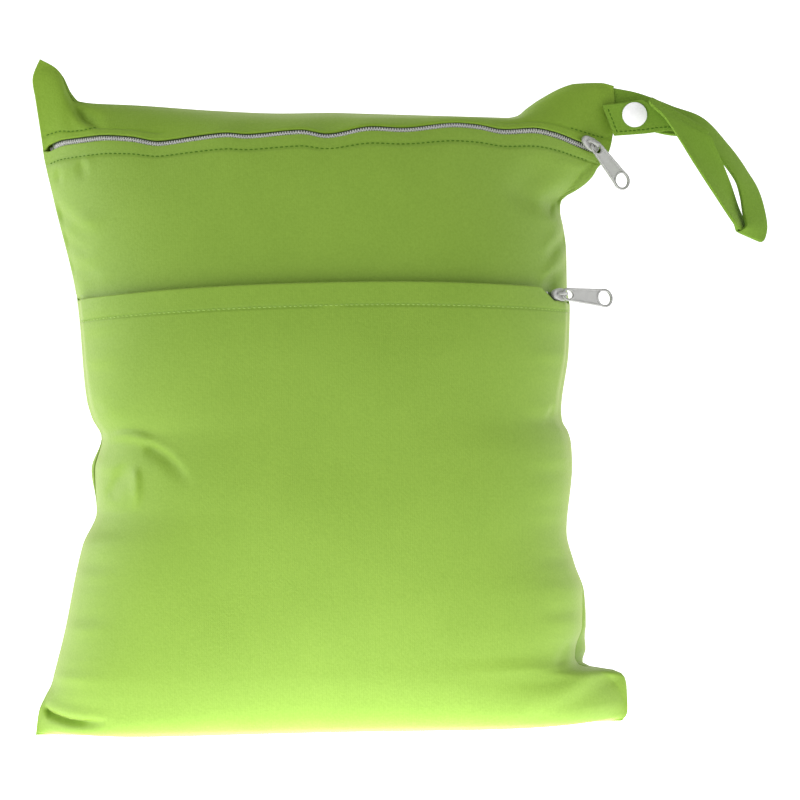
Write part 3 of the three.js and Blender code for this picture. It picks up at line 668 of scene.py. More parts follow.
# %% Cut and place the panels
back_cloth = panel("back_cloth", 1, bottom, top, 165, flush, replaces=["back_panel"])
front_cloth = panel(
    "front_cloth", -1, in_pocket, under_zip, 160, behind_pocket, replaces=["front_panel"],
)
pocket_cloth = panel(
    "pocket_cloth", -1, bottom, pocket_top, 190, pocket_lift, replaces=["pocket_panel"],
)
strip_cloth = panel("strip_cloth", -1, over_zip, top, 44, strip_lift, replaces=["top_strip"])

# %% [markdown]
# ## Rounded bars, rings and rows of copies
#
# The hardware and the stitches are closed tubes. A tube here is a stack of rings with an even
# number of points, and each end is closed by a strip of four-sided faces, so there are no
# poles. Small parts that repeat are copied as whole arrays, each in its own frame.

# %% Tubes and copies
# The last ring of a bar, as a share of its half length, and the steps of a line on the cloth.
BAR_END = 0.97
LINE_STEPS = 1500


def tube_faces(rings, points):
    """Faces of a stack of closed rings, with both ends filled by strips."""
    k = np.arange(points // 2 - 1)
    cap = np.stack([k, k + 1, points - 2 - k, points - 1 - k], axis=-1)
    end = cap + (rings - 1) * points
    return np.concatenate([grid_faces(rings, points, wrap_columns=True), cap[:, ::-1], end])


def tube(rings):
    """Points and outward faces of a closed tube; rings is rings x points x 3."""
    faces = tube_faces(*rings.shape[:2])
    return rings.reshape(-1, 3), turned_outwards(rings, faces)


def loop(rings):
    """Points and outward faces of a tube whose last ring joins its first."""
    faces = grid_faces(*rings.shape[:2], wrap_rows=True, wrap_columns=True)
    return rings.reshape(-1, 3), turned_outwards(rings, faces)


def joined(*shapes):
    """Several (points, faces) as one."""
    starts = np.cumsum([0] + [len(places) for places, _ in shapes])
    faces = [faces + start for (_, faces), start in zip(shapes, starts)]
    return np.concatenate([places for places, _ in shapes]), np.concatenate(faces)


def copies(shape, centres, frames):
    """One (points, faces) repeated at each centre, turned by each frame's three axes."""
    places, faces = shape
    moved = np.einsum("pi,kij->kpj", places, frames) + centres[:, None, :]
    starts = np.arange(len(centres))[:, None, None] * len(places)
    return moved.reshape(-1, 3), (faces[None] + starts).reshape(-1, 4)


def round_section(width, height, points, power=2.0):
    """A closed ring in the plane: a superellipse, 2 is an ellipse and 4 nearly a rectangle."""
    angle = np.linspace(0, 2 * np.pi, points, endpoint=False) + np.pi / points
    c, s = np.cos(angle), np.sin(angle)
    return np.stack([
        width / 2 * np.sign(c) * np.abs(c) ** (2 / power),
        height / 2 * np.sign(s) * np.abs(s) ** (2 / power),
    ], axis=-1)


def bar(length, width, height, rings=7, points=8):
    """A rounded bar along x: sections that shrink to both ends as the root of 1 - s^4."""
    s = np.linspace(-1, 1, rings) * BAR_END
    shrink = np.sqrt(1 - s**4)[:, None]
    ring = round_section(width, height, points)
    x = np.repeat(s[:, None] * length / 2, points, axis=1)
    return tube(np.stack([x, shrink * ring[:, 0], shrink * ring[:, 1]], axis=-1))


def line_on_cloth(half, share, ends, pitch, sink=flush):
    """Places every pitch along a line on the cloth, with along, across and outward axes."""
    tau = np.linspace(*ends, LINE_STEPS)
    at = share(tau)
    step = 2 * PER_MM
    line = cloth(half, tau, at)
    up = cloth(half, tau, at + step) - cloth(half, tau, at - step)
    along = unit(np.gradient(line, axis=0))
    out = unit(np.cross(along, up)) * -half
    line = line - out * sink(tau, at)[:, None]
    run = lengths_along(line)
    stops = np.arange(pitch / 2, run[-1], pitch)
    along, out = unit(sampled(stops, run, along)), unit(sampled(stops, run, out))
    centres = sampled(stops, run, line)
    return centres, np.stack([along, np.cross(out, along), out], axis=1)


print("tube of 7 rings and 8 points has", len(tube_faces(7, 8)), "faces")

# %% [markdown]
# ## Zip tapes and coils
#
# Both zips have a nylon coil on a woven tape. The tape is a narrow sheet under the cloth. The
# coil is two rows of small rounded loops that reach over the middle from either side in turn,
# so each loop is one bar across the zip, shifted by half a pitch between the rows.

# %% Tapes and coils
TAPE = 0.8
MAIN_TAPE_GAP = 0.9
MAIN_TAPE_HALF = 9.0
COIL = {"pitch": 1.3, "reach": 1.9, "width": 0.85, "height": 1.1, "shift": 0.55, "low": 0.3}
COIL_SINK = {"open": 1.1, "dive": 2.4, "ends": (0.78, 0.88)}
POCKET_TAPE = {"low": -8.0, "high": 1.6, "drop": 3.4, "lift": 1.2, "coil": 0.7}


def level(share):
    """A line at one share, whatever tau is."""
    return lambda tau: share + 0 * tau


def sunk(depth):
    """The same sink everywhere."""
    return lambda tau, share: depth + 0 * tau * share


def tape(name, share, low, high, ends, sink, node):
    """A thin closed sheet along one share, from low to high millimetres beside it."""
    return panel(
        name, -1, level(share + low * PER_MM), level(share + high * PER_MM), 8, sunk(sink),
        thick=TAPE, ends=ends, slot="zip", replaces=[node],
    )


def main_coil_sink(tau, share):
    """The main coil lies in its slot, and dives under the cloth towards both ends."""
    dive = COIL_SINK["dive"] * smoothstep(*COIL_SINK["ends"], np.abs(tau))
    return COIL_SINK["open"] + dive + 0 * share


def coil(name, share, ends, sink):
    """Two rows of rounded bars across the zip, every pitch along it."""
    centres, frames = line_on_cloth(-1, level(share), ends, COIL["pitch"] / 2, sink)
    side = np.where(np.arange(len(centres)) % 2 == 0, 1, -1)
    centres = centres + frames[:, 1] * (side * COIL["shift"])[:, None]
    tooth = bar(COIL["reach"], COIL["width"], COIL["height"])
    across = np.stack([frames[:, 1], -frames[:, 0], frames[:, 2]], axis=1)
    return piece(name, *copies(tooth, centres, across), slot="zip")


MAIN_SINK = CLOTH + MAIN_TAPE_GAP
POCKET_ZIP = POCKET_EDGE - POCKET_TAPE["drop"] * PER_MM
POCKET_SINK = CLOTH + LAYER_GAP - POCKET_TAPE["lift"]
main_tape = tape(
    "main_tape", MAIN_ZIP, -MAIN_TAPE_HALF, MAIN_TAPE_HALF, (-0.86, 0.8), MAIN_SINK,
    "main_zip_tape",
)
pocket_tape = tape(
    "pocket_tape", POCKET_ZIP, POCKET_TAPE["low"], POCKET_TAPE["high"], (-0.75, 0.8), POCKET_SINK,
    "pocket_zip_tape",
)
main_coil = coil("main_coil", MAIN_ZIP - COIL["low"] * PER_MM, (-0.9, 0.78), main_coil_sink)
pocket_coil = coil("pocket_coil", POCKET_ZIP, (0.4, 0.72), sunk(POCKET_SINK - POCKET_TAPE["coil"]))

# %% [markdown]
# ## Sliders and pulls
#
# Each slider is a small cast body with a bridge, and its pull is a flat tag with a raised rim,
# a slot round the bridge and a large eye at the far end. Each is built in a frame of its own,
# x along it and z out of the cloth, and set where its solid is.

# %% Frames of the sliders
SLIDER = {
    "length": 11, "wide": 6.4, "narrow": 4.6, "plate": 2.2, "reach": 2.6, "foot": 0.6,
    "bridge": 1.6, "opening": 2.2, "top": 1.2, "gap": 0.1,
}
SLIDER_RINGS = 25
SHIELD_POINTS = 20
SHIELD_END = 0.985
# How square the bridge's arch is: 1 is a half circle, and smaller powers fill out its corners.
ARCH_POWER = 0.6
PULL = {
    "length": 29.5, "near": 6.4, "far": 9.2, "thick": 1.5, "bar": 1.2, "hole": 7.2, "slot": 5.2,
    "rim": 1.15, "web": 0.8,
}
LEANS = {"main": {"skew": -22, "swing": 8}, "pocket": {"skew": -6, "swing": 25}}


def pull_frame(name):
    """The pull's 4x4 frame in millimetres: x from its hinge to its eye, y along the hinge."""
    joint = next(j for j in frame["joints"] if j["name"] == name + "_pull_hinge")
    node = frame["nodes"][name + "_zip_pull"]
    places = np.array([node.matrix_world @ v.co for v in node.data.vertices])
    hinge = np.array(joint["pos_m"])
    y = -unit(np.array(joint["axis"]))
    x = places.mean(0) - hinge
    x = unit(x - y * (x @ y))
    matrix = np.eye(4)
    matrix[:3, :3] = np.stack([x, y, np.cross(x, y)], axis=1)
    matrix[:3, 3] = hinge / MM - (0, SEAM_Y, 0)
    return Matrix(matrix)


def slider_frame(name):
    """The slider's frame under its pull: the pull's lean, lift and height taken back."""
    height = SLIDER["plate"] + SLIDER["gap"] + (SLIDER["opening"] - SLIDER["gap"]) / 2
    lean = Matrix.Rotation(math.radians(LEANS[name]["skew"]), 4, "Z")
    lift = Matrix.Rotation(math.radians(-LEANS[name]["swing"]), 4, "Y")
    return pull_frame(name) @ (Matrix.Translation((0, 0, height)) @ lean @ lift).inverted()


def placed(shape, matrix):
    """Points moved by a 4x4 frame, with their faces."""
    places, faces = shape
    m = np.array(matrix)
    return places @ m[:3, :3].T + m[:3, 3], faces


main_frame, pocket_frame = slider_frame("main"), slider_frame("pocket")
print("main slider at", [round(v, 1) for v in main_frame.translation])

# %% [markdown]
# The slider's shield is a stack of rounded sections that narrows to one end, and its bridge is
# a bent rod.


# %% Sliders
def slider_shape():
    """A shield that tapers to one end, and an arched bridge: x and z run as a superellipse."""
    s = np.linspace(-1, 1, SLIDER_RINGS)[:, None] * SHIELD_END
    wide = SLIDER["narrow"] + (SLIDER["wide"] - SLIDER["narrow"]) * smoothstep(-1, 0.2, s)
    shrink = (1 - np.abs(s) ** 6) ** (1 / 2.5)
    ring = round_section(1, 1, SHIELD_POINTS, power=4)
    shield = np.stack([
        np.repeat(s * SLIDER["length"] / 2, SHIELD_POINTS, axis=1),
        wide * shrink * ring[:, 0],
        SLIDER["plate"] * (0.5 + ring[:, 1] * (0.75 + 0.25 * shrink)),
    ], axis=-1)
    angle = np.linspace(0, np.pi, SLIDER_RINGS)
    c, sn = np.cos(angle), np.sin(angle)
    high = SLIDER["opening"] + SLIDER["top"] / 2
    arch_x = SLIDER["reach"] * np.sign(c) * np.abs(c) ** ARCH_POWER
    arch = np.stack([arch_x, 0 * c, SLIDER["plate"] + high * sn**ARCH_POWER], axis=-1)
    arch[[0, -1], 2] -= SLIDER["foot"]
    along = unit(np.gradient(arch, axis=0))
    aside = np.array([0.0, 1.0, 0.0])
    over = np.cross(along, aside)[:, None]
    ring = round_section(SLIDER["bridge"], SLIDER["top"], 12, power=3)
    bridge = arch[:, None] + ring[None, :, :1] * aside + ring[None, :, 1:] * over
    return joined(tube(shield), tube(bridge))


def hardware(name, shape, matrix, node, body="bag"):
    """A metal piece in its frame, which stands for one solid."""
    return piece(name, *placed(shape, matrix), body=body, slot="metal", replaces=[node])


main_slider = hardware("main_slider", slider_shape(), main_frame, "main_zip_slider")
pocket_slider = hardware("pocket_slider", slider_shape(), pocket_frame, "pocket_zip_slider")

# %% [markdown]
# The pull is drawn flat from two circles and their tangents: a raised rim goes round it and
# round both holes, and a thin web fills the rest, as on a cast tag.

# %% Pulls
PULL_STEPS = {"arc": 40, "hole": 56, "web": 20, "section": 24}


def ring_loop(path, width, thick, points=12):
    """A closed loop of a rounded section along a flat closed path."""
    along = unit(np.roll(path, -1, axis=0) - np.roll(path, 1, axis=0))
    up = np.array([0.0, 0.0, 1.0])
    aside = np.cross(up, along)
    ring = round_section(width, thick, points, power=2.6)
    return loop(path[:, None] + ring[None, :, :1] * aside[:, None] + ring[None, :, 1:] * up)


def flat_path(x, y):
    """A path of points in the plane z = 0."""
    return np.stack([x, y, 0 * x], axis=-1)


def pull_shape():
    """A rim round two circles and their tangents, a ring at each hole, and a thin web."""
    near, far, rim = PULL["near"] / 2, PULL["far"] / 2, PULL["rim"]
    start = -PULL["bar"] / 2
    near_x, far_x = start + near, start + PULL["length"] - far
    lean = math.asin((far - near) / (far_x - near_x))
    fore = np.linspace(-np.pi / 2 - lean, np.pi / 2 + lean, PULL_STEPS["arc"])
    aft = np.linspace(np.pi / 2 + lean, 3 * np.pi / 2 - lean, PULL_STEPS["arc"])
    far_r, near_r = far - rim / 2, near - rim / 2
    outer = flat_path(
        np.concatenate([far_x + far_r * np.cos(fore), near_x + near_r * np.cos(aft)]),
        np.concatenate([far_r * np.sin(fore), near_r * np.sin(aft)]),
    )
    turn = np.linspace(0, 2 * np.pi, PULL_STEPS["hole"], endpoint=False)
    eye_r = PULL["hole"] / 2 + rim / 2
    eye = flat_path(far_x + eye_r * np.cos(turn), eye_r * np.sin(turn))
    slot_half = PULL["slot"] / 2 + rim / 2
    slot_x = PULL["bar"] / 2 + PULL["slot"] / 2
    slot = flat_path(slot_x + slot_half * np.cos(turn), near_r * np.sin(turn))
    t = np.linspace(0, 1, PULL_STEPS["web"])[:, None]
    section = round_section(2, PULL["web"], PULL_STEPS["section"], power=5)
    y = section[None, :, 0] * (near + (far - near) * (0.3 + 0.6 * t) - rim / 2)
    from_x = slot_x + slot_half * np.sqrt(np.maximum(1 - (y / near_r) ** 2, 0))
    to_x = far_x - np.sqrt(np.maximum(eye_r**2 - y**2, 0))
    z = np.repeat(section[None, :, 1], len(t), axis=0)
    web = np.stack([from_x + (to_x - from_x) * t, y, z], axis=-1)
    rims = [ring_loop(path, rim, PULL["thick"]) for path in (outer, eye, slot)]
    return joined(*rims, tube(web))


main_pull = hardware(
    "main_pull_tag", pull_shape(), pull_frame("main"), "main_zip_pull", body="main_pull",
)
pocket_pull = hardware(
    "pocket_pull_tag", pull_shape(), pull_frame("pocket"), "pocket_zip_pull", body="pocket_pull",
)
for node, tag in (("main_zip_pull", main_pull), ("pocket_zip_pull", pocket_pull)):
    corner = np.array(tag.bound_box).min(0) - np.array(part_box(node)[0])
    print(node, "differs from its solid by", np.round(corner / MM, 2).tolist(), "mm")

# %% [markdown]
# ## The strap
#
# The strap is a flat folded strip, sewn into the right side seam, that turns back on itself in
# a hanging loop. It is a ruled strip: a middle line through chosen places, and at each place
# the step across to the other edge. A slight cup across the width keeps it from looking like
# sheet metal, and the long edges are rounded because the cloth is folded over there.

# %% The strap's path and shape
STRAP_THICK = 2.0
STRAP_WIDTH = 17.0
# From the seam to the free end: the middle's x, y and z, the step across in x, y and z, the cup.
STRAP_PATH = np.array([
    (139.5, 0, 309, 0, 0, 17, 0),
    (151, 0, 306.3, 1.5, 0, 17, 0),
    (168, 1.5, 300.6, 4.2, 8.5, 14.1, 0.4),
    (183, 5, 296.4, 5, 12.6, 10.2, 0.6),
    (194.5, 8, 286, 6.4, 14.8, 5.4, 0.8),
    (203.8, 8.5, 273.6, 6.3, 15, 4.9, 0.8),
    (208.2, 7.5, 264.4, 9.3, 13.8, 3.5, 0.6),
    (210.4, 5.2, 255, 11.3, 12.6, 1.6, 0.4),
    (211.5, 2.2, 246, 11.2, 12.7, -2, 0.2),
    (208.3, 0, 242.2, 12.5, 10.3, -5.2, 0),
    (202, -1.5, 250.8, 5.4, 16, 2.4, 0.3),
    (194, -5.5, 266.2, 8.6, 13.7, 5.3, 0.6),
    (187.2, -8.2, 278.6, 12.5, 11, 3.6, 0.8),
    (181.3, -10.6, 288.8, 18.2, 9, -3.8, 0.6),
    (176.5, -11.4, 296.6, 24, 8, -11, 0.3),
    (171.9, -11, 300.6, 28.4, 5, -16.9, 0),
    (172.9, -8.6, 302.7, 28.7, 3, -17.1, 0),
    (171.5, -6.6, 301.6, 27, 1, -16, 0),
    (161, -6.3, 302.9, 14, 0, -15.8, 0),
    (150.5, -6.2, 301.8, 6, 0, -16, 0),
    (137.4, -6.2, 300.8, 5.6, 0, -15.4, 0),
])
STRAP_PATH[:, 0] += LEAN * STRAP_PATH[:, 2]
STRAP_STEPS = 16
STRAP_SECTION = 44
STRAP_SQUARE = 8


def through(points, steps):
    """A smooth line through points: a cubic on each stretch, whose slopes at the points weigh
    the stretches on both sides by the square roots of their lengths."""
    gaps = np.maximum(np.sqrt(np.linalg.norm(np.diff(points, axis=0), axis=1)), 0.05)[:, None]
    slopes = np.diff(points, axis=0) / gaps
    inner = slopes[:-1] - (points[2:] - points[:-2]) / (gaps[:-1] + gaps[1:]) + slopes[1:]
    tangents = np.concatenate([slopes[:1], inner, slopes[-1:]])
    w = np.linspace(0, 1, steps, endpoint=False)[None, :, None]
    leaves, arrives = (tangents[:-1] * gaps)[:, None], (tangents[1:] * gaps)[:, None]
    lines = cubic(w, points[:-1, None], leaves, points[1:, None], arrives)
    return np.concatenate([lines.reshape(-1, points.shape[1]), points[-1:]])


strap_middle = through(STRAP_PATH[:, :3], STRAP_STEPS)
strap_across = through(STRAP_PATH[:, 3:6], STRAP_STEPS)
strap_cup = through(STRAP_PATH[:, 6:], STRAP_STEPS)


def strap_shape():
    """Rounded flat sections on the ruled strip; cup lifts the middle as 1 - (2w)^2."""
    ring = round_section(1, STRAP_THICK, STRAP_SECTION, power=STRAP_SQUARE)
    w = ring[None, :, :1]
    face = unit(np.cross(np.gradient(strap_middle, axis=0), strap_across))[:, None]
    lift = ring[None, :, 1:] + strap_cup[:, None] * (1 - 4 * w**2)
    return tube(strap_middle[:, None] + w * strap_across[:, None] + lift * face)


strap_run = lengths_along(strap_middle)
ring_uv = round_section(STRAP_WIDTH, STRAP_THICK, STRAP_SECTION, power=STRAP_SQUARE)
strap_uv = np.stack([
    np.tile(ring_uv[:, 0], len(strap_run)), np.repeat(strap_run, STRAP_SECTION),
], axis=-1)
strap = piece("strap_cloth", *strap_shape(), slot="cloth", replaces=["strap"], uv=strap_uv)

# %% [markdown]
# ## The press stud
#
# The white cap holds a socket through the strap's free end, and the stud sits on the strap's
# root behind it. All are turned shapes: a profile of radius and depth carried round an axis.

# %% Cap, socket and stud
SNAP = {
    "x": 150.5, "z": 303.4, "cap": 12.4, "thick": 1.7, "rim": 0.6, "post": 3.4, "socket": 9.6,
    "stud": 8.6, "front_gap": 0.1, "gap": 0.2,
}
TURNED_POINTS = 48
POST_RINGS = 4
DOME = {"steps": 24, "rim_steps": 8, "tip": 0.05}
# Profiles from one end to the other: shares of the radius, and depths in millimetres.
SOCKET_RADIUS = np.array([0.98, 1, 1, 0.97, 0.6, 0.55])
SOCKET_DEPTH = np.array([0, 0.3, 1.6, 2.0, 2.0, 1.4])
STUD_RADIUS = np.array([0.5, 0.56, 0.6, 1.0, 1.0, 0.97])
STUD_DEPTH = np.array([1.1, 1.0, 0.6, 0.45, 0.1, 0])
BACK_RADIUS = np.array([0.97, 1, 0.9, 0.4])
BACK_DEPTH = np.array([0, 0.3, 0.9, 1.0])


def turned(radius, depth):
    """A profile (radius, depth) carried round an axis along y through the snap."""
    angle = np.linspace(0, 2 * np.pi, TURNED_POINTS, endpoint=False)
    ring = np.stack([np.cos(angle), 0 * angle, np.sin(angle)], axis=-1)
    y = np.array([0.0, 1.0, 0.0])
    rings = radius[:, None, None] * ring[None] + depth[:, None, None] * y
    return tube(rings + (SNAP["x"] + LEAN * SNAP["z"], 0, SNAP["z"]))


def dome(radius, base, rise, edge):
    """A shallow dome with a rounded rim: from the rim, in, and over to the middle."""
    t = np.linspace(0, 1, DOME["steps"])[1:]
    quarter = np.pi / 2 * np.linspace(0, 1, DOME["rim_steps"])
    out = np.concatenate([radius - edge * (1 - np.sin(quarter)), radius * (1 - t)])
    up = np.concatenate([
        edge * (1 - np.cos(quarter)), edge + (rise - edge) * np.sin(np.pi / 2 * t),
    ])
    out[-1] = DOME["tip"]
    return turned(out, base - up)


def post(from_y, to_y):
    """The plain pin between two depths that holds two turned halves together."""
    return turned(np.full(POST_RINGS, SNAP["post"] / 2), np.linspace(from_y, to_y, POST_RINGS))


free_y = STRAP_PATH[-1, 1]
front_y = free_y - STRAP_THICK / 2 - SNAP["front_gap"]
rear_y = free_y + STRAP_THICK / 2 + SNAP["gap"]
cap = dome(SNAP["cap"] / 2, front_y, SNAP["thick"], SNAP["rim"])
stem = post(front_y - SNAP["gap"], rear_y + SNAP["gap"])
socket = turned(SNAP["socket"] / 2 * SOCKET_RADIUS, rear_y + SOCKET_DEPTH)
snap_cap = piece("snap_cap_turned", *joined(cap, stem, socket), slot="snap", replaces=["snap_cap"])
face_y = STRAP_THICK / 2 + SNAP["gap"]
stud = turned(SNAP["stud"] / 2 * STUD_RADIUS, -face_y - STUD_DEPTH)
stud_back = turned(SNAP["stud"] / 2 * BACK_RADIUS, face_y + BACK_DEPTH)
stud_stem = post(-face_y, face_y)
snap_stud = piece(
    "snap_stud_turned", *joined(stud, stud_stem, stud_back), slot="snap", replaces=["snap_stud"],
)

# %% [markdown]
# ## Stitches
#
# Straight machine stitches hold the zips, the pocket's hem and the strap's end. Each stitch is
# a short rounded bar of thread that lies half sunk in the cloth. They could be painted on, but
# real bars catch the light and cast the small shadows that make a seam look sewn.

# %% Rows of stitches
STITCH = {"pitch": 2.5, "length": 1.75, "width": 0.68, "sink": 0.08}
# On the strap: edge is a share of its width, from_end and length are rows of the strip.
STRAP_SEAM = {"pitch": 2.2, "edge": 0.38, "from_end": 2.5, "length": 36, "steps": 200}
ZIP_SEAM = -8.2
STRIP_SEAM = 7.2
HEM_SEAM = -11.5
# Rows on the front: how far from the zip or hem in millimetres, and the span in tau.
ZIP_ROWS = [
    ("under the main zip", MAIN_ZIP, ZIP_SEAM, (-0.88, 0.8), flush),
    ("over the zip's left end", MAIN_ZIP, STRIP_SEAM, (-0.88, -0.6), strip_lift),
    ("over the zip's right end", MAIN_ZIP, STRIP_SEAM, (0.64, 0.84), strip_lift),
]
HEM_ROWS = [("on the pocket's hem", POCKET_EDGE, HEM_SEAM, (-0.88, 0.88), pocket_lift)]
stitch = bar(STITCH["length"], STITCH["width"], STITCH["width"], rings=5, points=6)


def stitch_row(name, share, away, ends, sink):
    """One row of stitches on the front, half sunk in the cloth."""
    centres, frames = line_on_cloth(
        -1, level(share + away * PER_MM), ends, STITCH["pitch"],
        lambda tau, at: sink(tau, at) + STITCH["sink"],
    )
    print(name, len(centres), "stitches")
    return copies(stitch, centres, frames)


def strap_line(w_from, w_to, at_from, at_to):
    """Stitches on the strap's outer face between two (place, width) points of the strip."""
    pitch = STRAP_SEAM["pitch"]
    at = np.linspace(at_from, at_to, STRAP_SEAM["steps"])
    w = np.linspace(w_from, w_to, STRAP_SEAM["steps"])[:, None]
    low = np.clip(at.astype(int), 0, len(strap_middle) - 2)
    mix = (at - low)[:, None]

    def blend(rows):
        """Between the two rows of the strip on either side of each place."""
        return rows[low] * (1 - mix) + rows[low + 1] * mix

    across = blend(strap_across)
    face = unit(np.cross(blend(np.gradient(strap_middle, axis=0)), across))
    line = blend(strap_middle) + across * w + face * (STRAP_THICK / 2 - STITCH["sink"])
    run = lengths_along(line)
    stops = np.arange(pitch / 2, run[-1], pitch)
    along = unit(sampled(stops, run, np.gradient(line, axis=0)))
    out = unit(sampled(stops, run, face))
    out = unit(out - along * np.sum(along * out, axis=1, keepdims=True))
    return sampled(stops, run, line), np.stack([along, np.cross(out, along), out], axis=1)


seam_end = len(strap_middle) - 1 - STRAP_SEAM["from_end"]
seam_edge = STRAP_SEAM["edge"]
below = strap_line(seam_edge, seam_edge, seam_end - STRAP_SEAM["length"], seam_end)
beside = strap_line(-seam_edge, seam_edge, seam_end, seam_end)
zip_rows = [stitch_row(*row) for row in ZIP_ROWS]
zip_rows += [copies(stitch, *row) for row in (below, beside)]
hem_rows = [stitch_row(*row) for row in HEM_ROWS]
zip_stitches = piece("zip_stitches", *joined(*zip_rows), slot="cloth")
hem_stitches = piece("hem_stitches", *joined(*hem_rows), slot="cloth")

# %% [markdown]
# ## Materials
#
# Shader maths reads best as ordinary expressions, so one small class wraps a socket and adds a
# Math node for each operator. Every other node comes from one method.


# %% Sockets as expressions
class Wire:
    """A socket in a node tree; +, -, * and / on it add Math nodes."""

    def __init__(self, tree, socket=None):
        self.tree = tree
        self.socket = socket

    def output(self, index):
        """Another output of the same node."""
        return Wire(self.tree, self.socket.node.outputs[index])

    def node(self, kind, settings=None, sockets=None, output=0):
        """A node of one kind: its settings first, then values or links of its sockets."""
        made = self.tree.nodes.new(kind)
        for name, value in (settings or {}).items():
            setattr(made, name, value)
        for name, value in (sockets or {}).items():
            if isinstance(value, Wire):
                self.tree.links.new(value.socket, made.inputs[name])
            else:
                made.inputs[name].default_value = value
        return Wire(self.tree, made.outputs[output])

    def maths(self, operation, first, second):
        """One Math node on two values."""
        return self.node("ShaderNodeMath", {"operation": operation}, {0: first, 1: second})

    def __add__(self, other):
        return self.maths("ADD", self, other)

    def __radd__(self, other):
        return self.maths("ADD", other, self)

    def __sub__(self, other):
        return self.maths("SUBTRACT", self, other)

    def __rsub__(self, other):
        return self.maths("SUBTRACT", other, self)

    def __mul__(self, other):
        return self.maths("MULTIPLY", self, other)

    def __rmul__(self, other):
        return self.maths("MULTIPLY", other, self)

    def __truediv__(self, other):
        return self.maths("DIVIDE", self, other)

    def size(self):
        """The value without its sign."""
        return self.maths("ABSOLUTE", self, 0)

    def triangle(self):
        """A wave from 0 to 1 and back over each whole number."""
        return 2 * self.maths("PINGPONG", self, 0.5)

    def step(self, low, high):
        """A soft step from 0 at low to 1 at high."""
        sockets = {"Value": self, "From Min": low, "From Max": high}
        return self.node("ShaderNodeMapRange", {"interpolation_type": "SMOOTHSTEP"}, sockets)

    def mix(self, first, second):
        """Between two colours by this value."""
        sockets = {0: self, 6: first, 7: second}
        return self.node("ShaderNodeMix", {"data_type": "RGBA"}, sockets, output=2)

    def place(self):
        """The place on the piece, in metres."""
        return self.node("ShaderNodeTexCoord", output=3)

    def cut(self):
        """The place on the flat cloth, in metres."""
        return self.node("ShaderNodeUVMap", {"uv_map": "cut"})

    def split(self):
        """The first part of a vector; output gives the others."""
        return self.node("ShaderNodeSeparateXYZ", None, {0: self})

    def noise(self, scale, detail=2):
        """Noise from 0 to 1 over the piece."""
        sockets = {"Vector": self.place(), "Scale": scale, "Detail": detail}
        return self.node("ShaderNodeTexNoise", None, sockets)

    def bump(self, strength, distance):
        """The normal of a surface with this value as its relief."""
        sockets = {"Strength": strength, "Distance": distance, "Height": self}
        return self.node("ShaderNodeBump", None, sockets)


def look(name):
    """A new material with its tree, and the shader that ends it."""
    material = bpy.data.materials.new(name)
    material.use_nodes = True
    tree = material.node_tree
    return material, Wire(tree), tree.nodes["Principled BSDF"]


def feed(shader, **sockets):
    """Links or values into the shader's sockets, named with underscores for spaces."""
    for name, value in sockets.items():
        socket = shader.inputs[name.replace("_", " ")]
        if isinstance(value, Wire):
            value.tree.links.new(value.socket, socket)
        else:
            socket.default_value = value


def dress(rows):
    """Each row's material on each of its pieces."""
    for material, parts in rows:
        for part in parts:
            part.data.materials.append(material)


print("shader tools ready")

# %% [markdown]
# ## The knit
#
# The bag is a fine laminated tricot: narrow upright ribs whose loops lean left and right in
# turn, less than a millimetre apart, with a soft sheen where it curves away. The pattern
# follows the cut of the cloth, so it reads the UV map, which is in metres of flat cloth.

# %% Cloth material
KNIT = {"rib": 0.0009, "course": 0.0011, "press_and_shade": 0.0016, "fade": 0.01}
SHEEN_TINT = (1, 0.93, 0.45, 1)
GREEN = (0.246, 0.39, 0.046, 1)
DEEP_GREEN = (0.181, 0.309, 0.028, 1)
STRAP_GREEN = (0.2, 0.345, 0.04, 1)
STRAP_DEEP = (0.147, 0.27, 0.026, 1)


def knit(name, base, deep, seam=None, clear=0, sheen=0.28, rough=0.42):
    """Knit cloth: ribs shifted by a zigzag of the courses, tone from two sizes of noise.

    A seam, in metres along the cut, presses a line into the cloth and darkens the tone along it
    as painted shade of the groove; clear keeps the line off the middle of the panel. Sheen is
    the weight of the soft gloss, and rough the least roughness."""
    material, wire, shader = look(name)
    across = wire.cut().split()
    along = across.output(1)
    courses = (along / KNIT["course"]).triangle()
    ribs = (across / KNIT["rib"] + 0.35 * courses).triangle()
    loops = ribs * (0.7 + 0.3 * courses)
    broad = wire.noise(28, 3)
    fine = wire.noise(900)
    tone = 0.5 * broad + 0.9 * fine - 0.06 * loops
    height = 0.28 * loops + 0.95 * fine
    if seam is not None:
        press_and_shade = 1 - (along - seam).size().step(0, KNIT["press_and_shade"])
        press_and_shade = press_and_shade * across.size().step(clear, clear + KNIT["fade"])
        # Painted shade: the tone darkens along the pressed line, besides the real dent of the bump.
        tone = tone + 0.5 * press_and_shade
        height = height - 3 * press_and_shade
    feed(shader, Base_Color=tone.mix(base, deep), Roughness=rough + 0.2 * fine)
    feed(shader, Normal=height.bump(0.28, 0.0004), Specular_IOR_Level=1.2 * sheen)
    feed(shader, Sheen_Weight=sheen, Sheen_Roughness=0.35, Sheen_Tint=SHEEN_TINT)
    return material


def metres(share, away):
    """A seam's place along the cut, in metres."""
    return (share * FLAT_HEIGHT + away) * MM


knits = [
    (knit("back_knit", GREEN, DEEP_GREEN), [back_cloth]),
    (knit("strap_knit", STRAP_GREEN, STRAP_DEEP, sheen=0.12, rough=0.75), [strap]),
    (knit("front_knit", GREEN, DEEP_GREEN, metres(MAIN_ZIP, ZIP_SEAM)), [front_cloth]),
    (knit("pocket_knit", GREEN, DEEP_GREEN, metres(POCKET_EDGE, HEM_SEAM)), [pocket_cloth]),
    (knit("strip_knit", GREEN, DEEP_GREEN, metres(MAIN_ZIP, STRIP_SEAM), 0.08, 0.1), [strip_cloth]),
]
dress(knits)
print(len(knits), "knits")

# %% [markdown]
# ## Thread, zip, metal and resin
#
# The small parts share one idea: a base colour that noise or a weave moves a little, the same
# pattern in the roughness, and a faint bump, so that none of them is one flat colour.

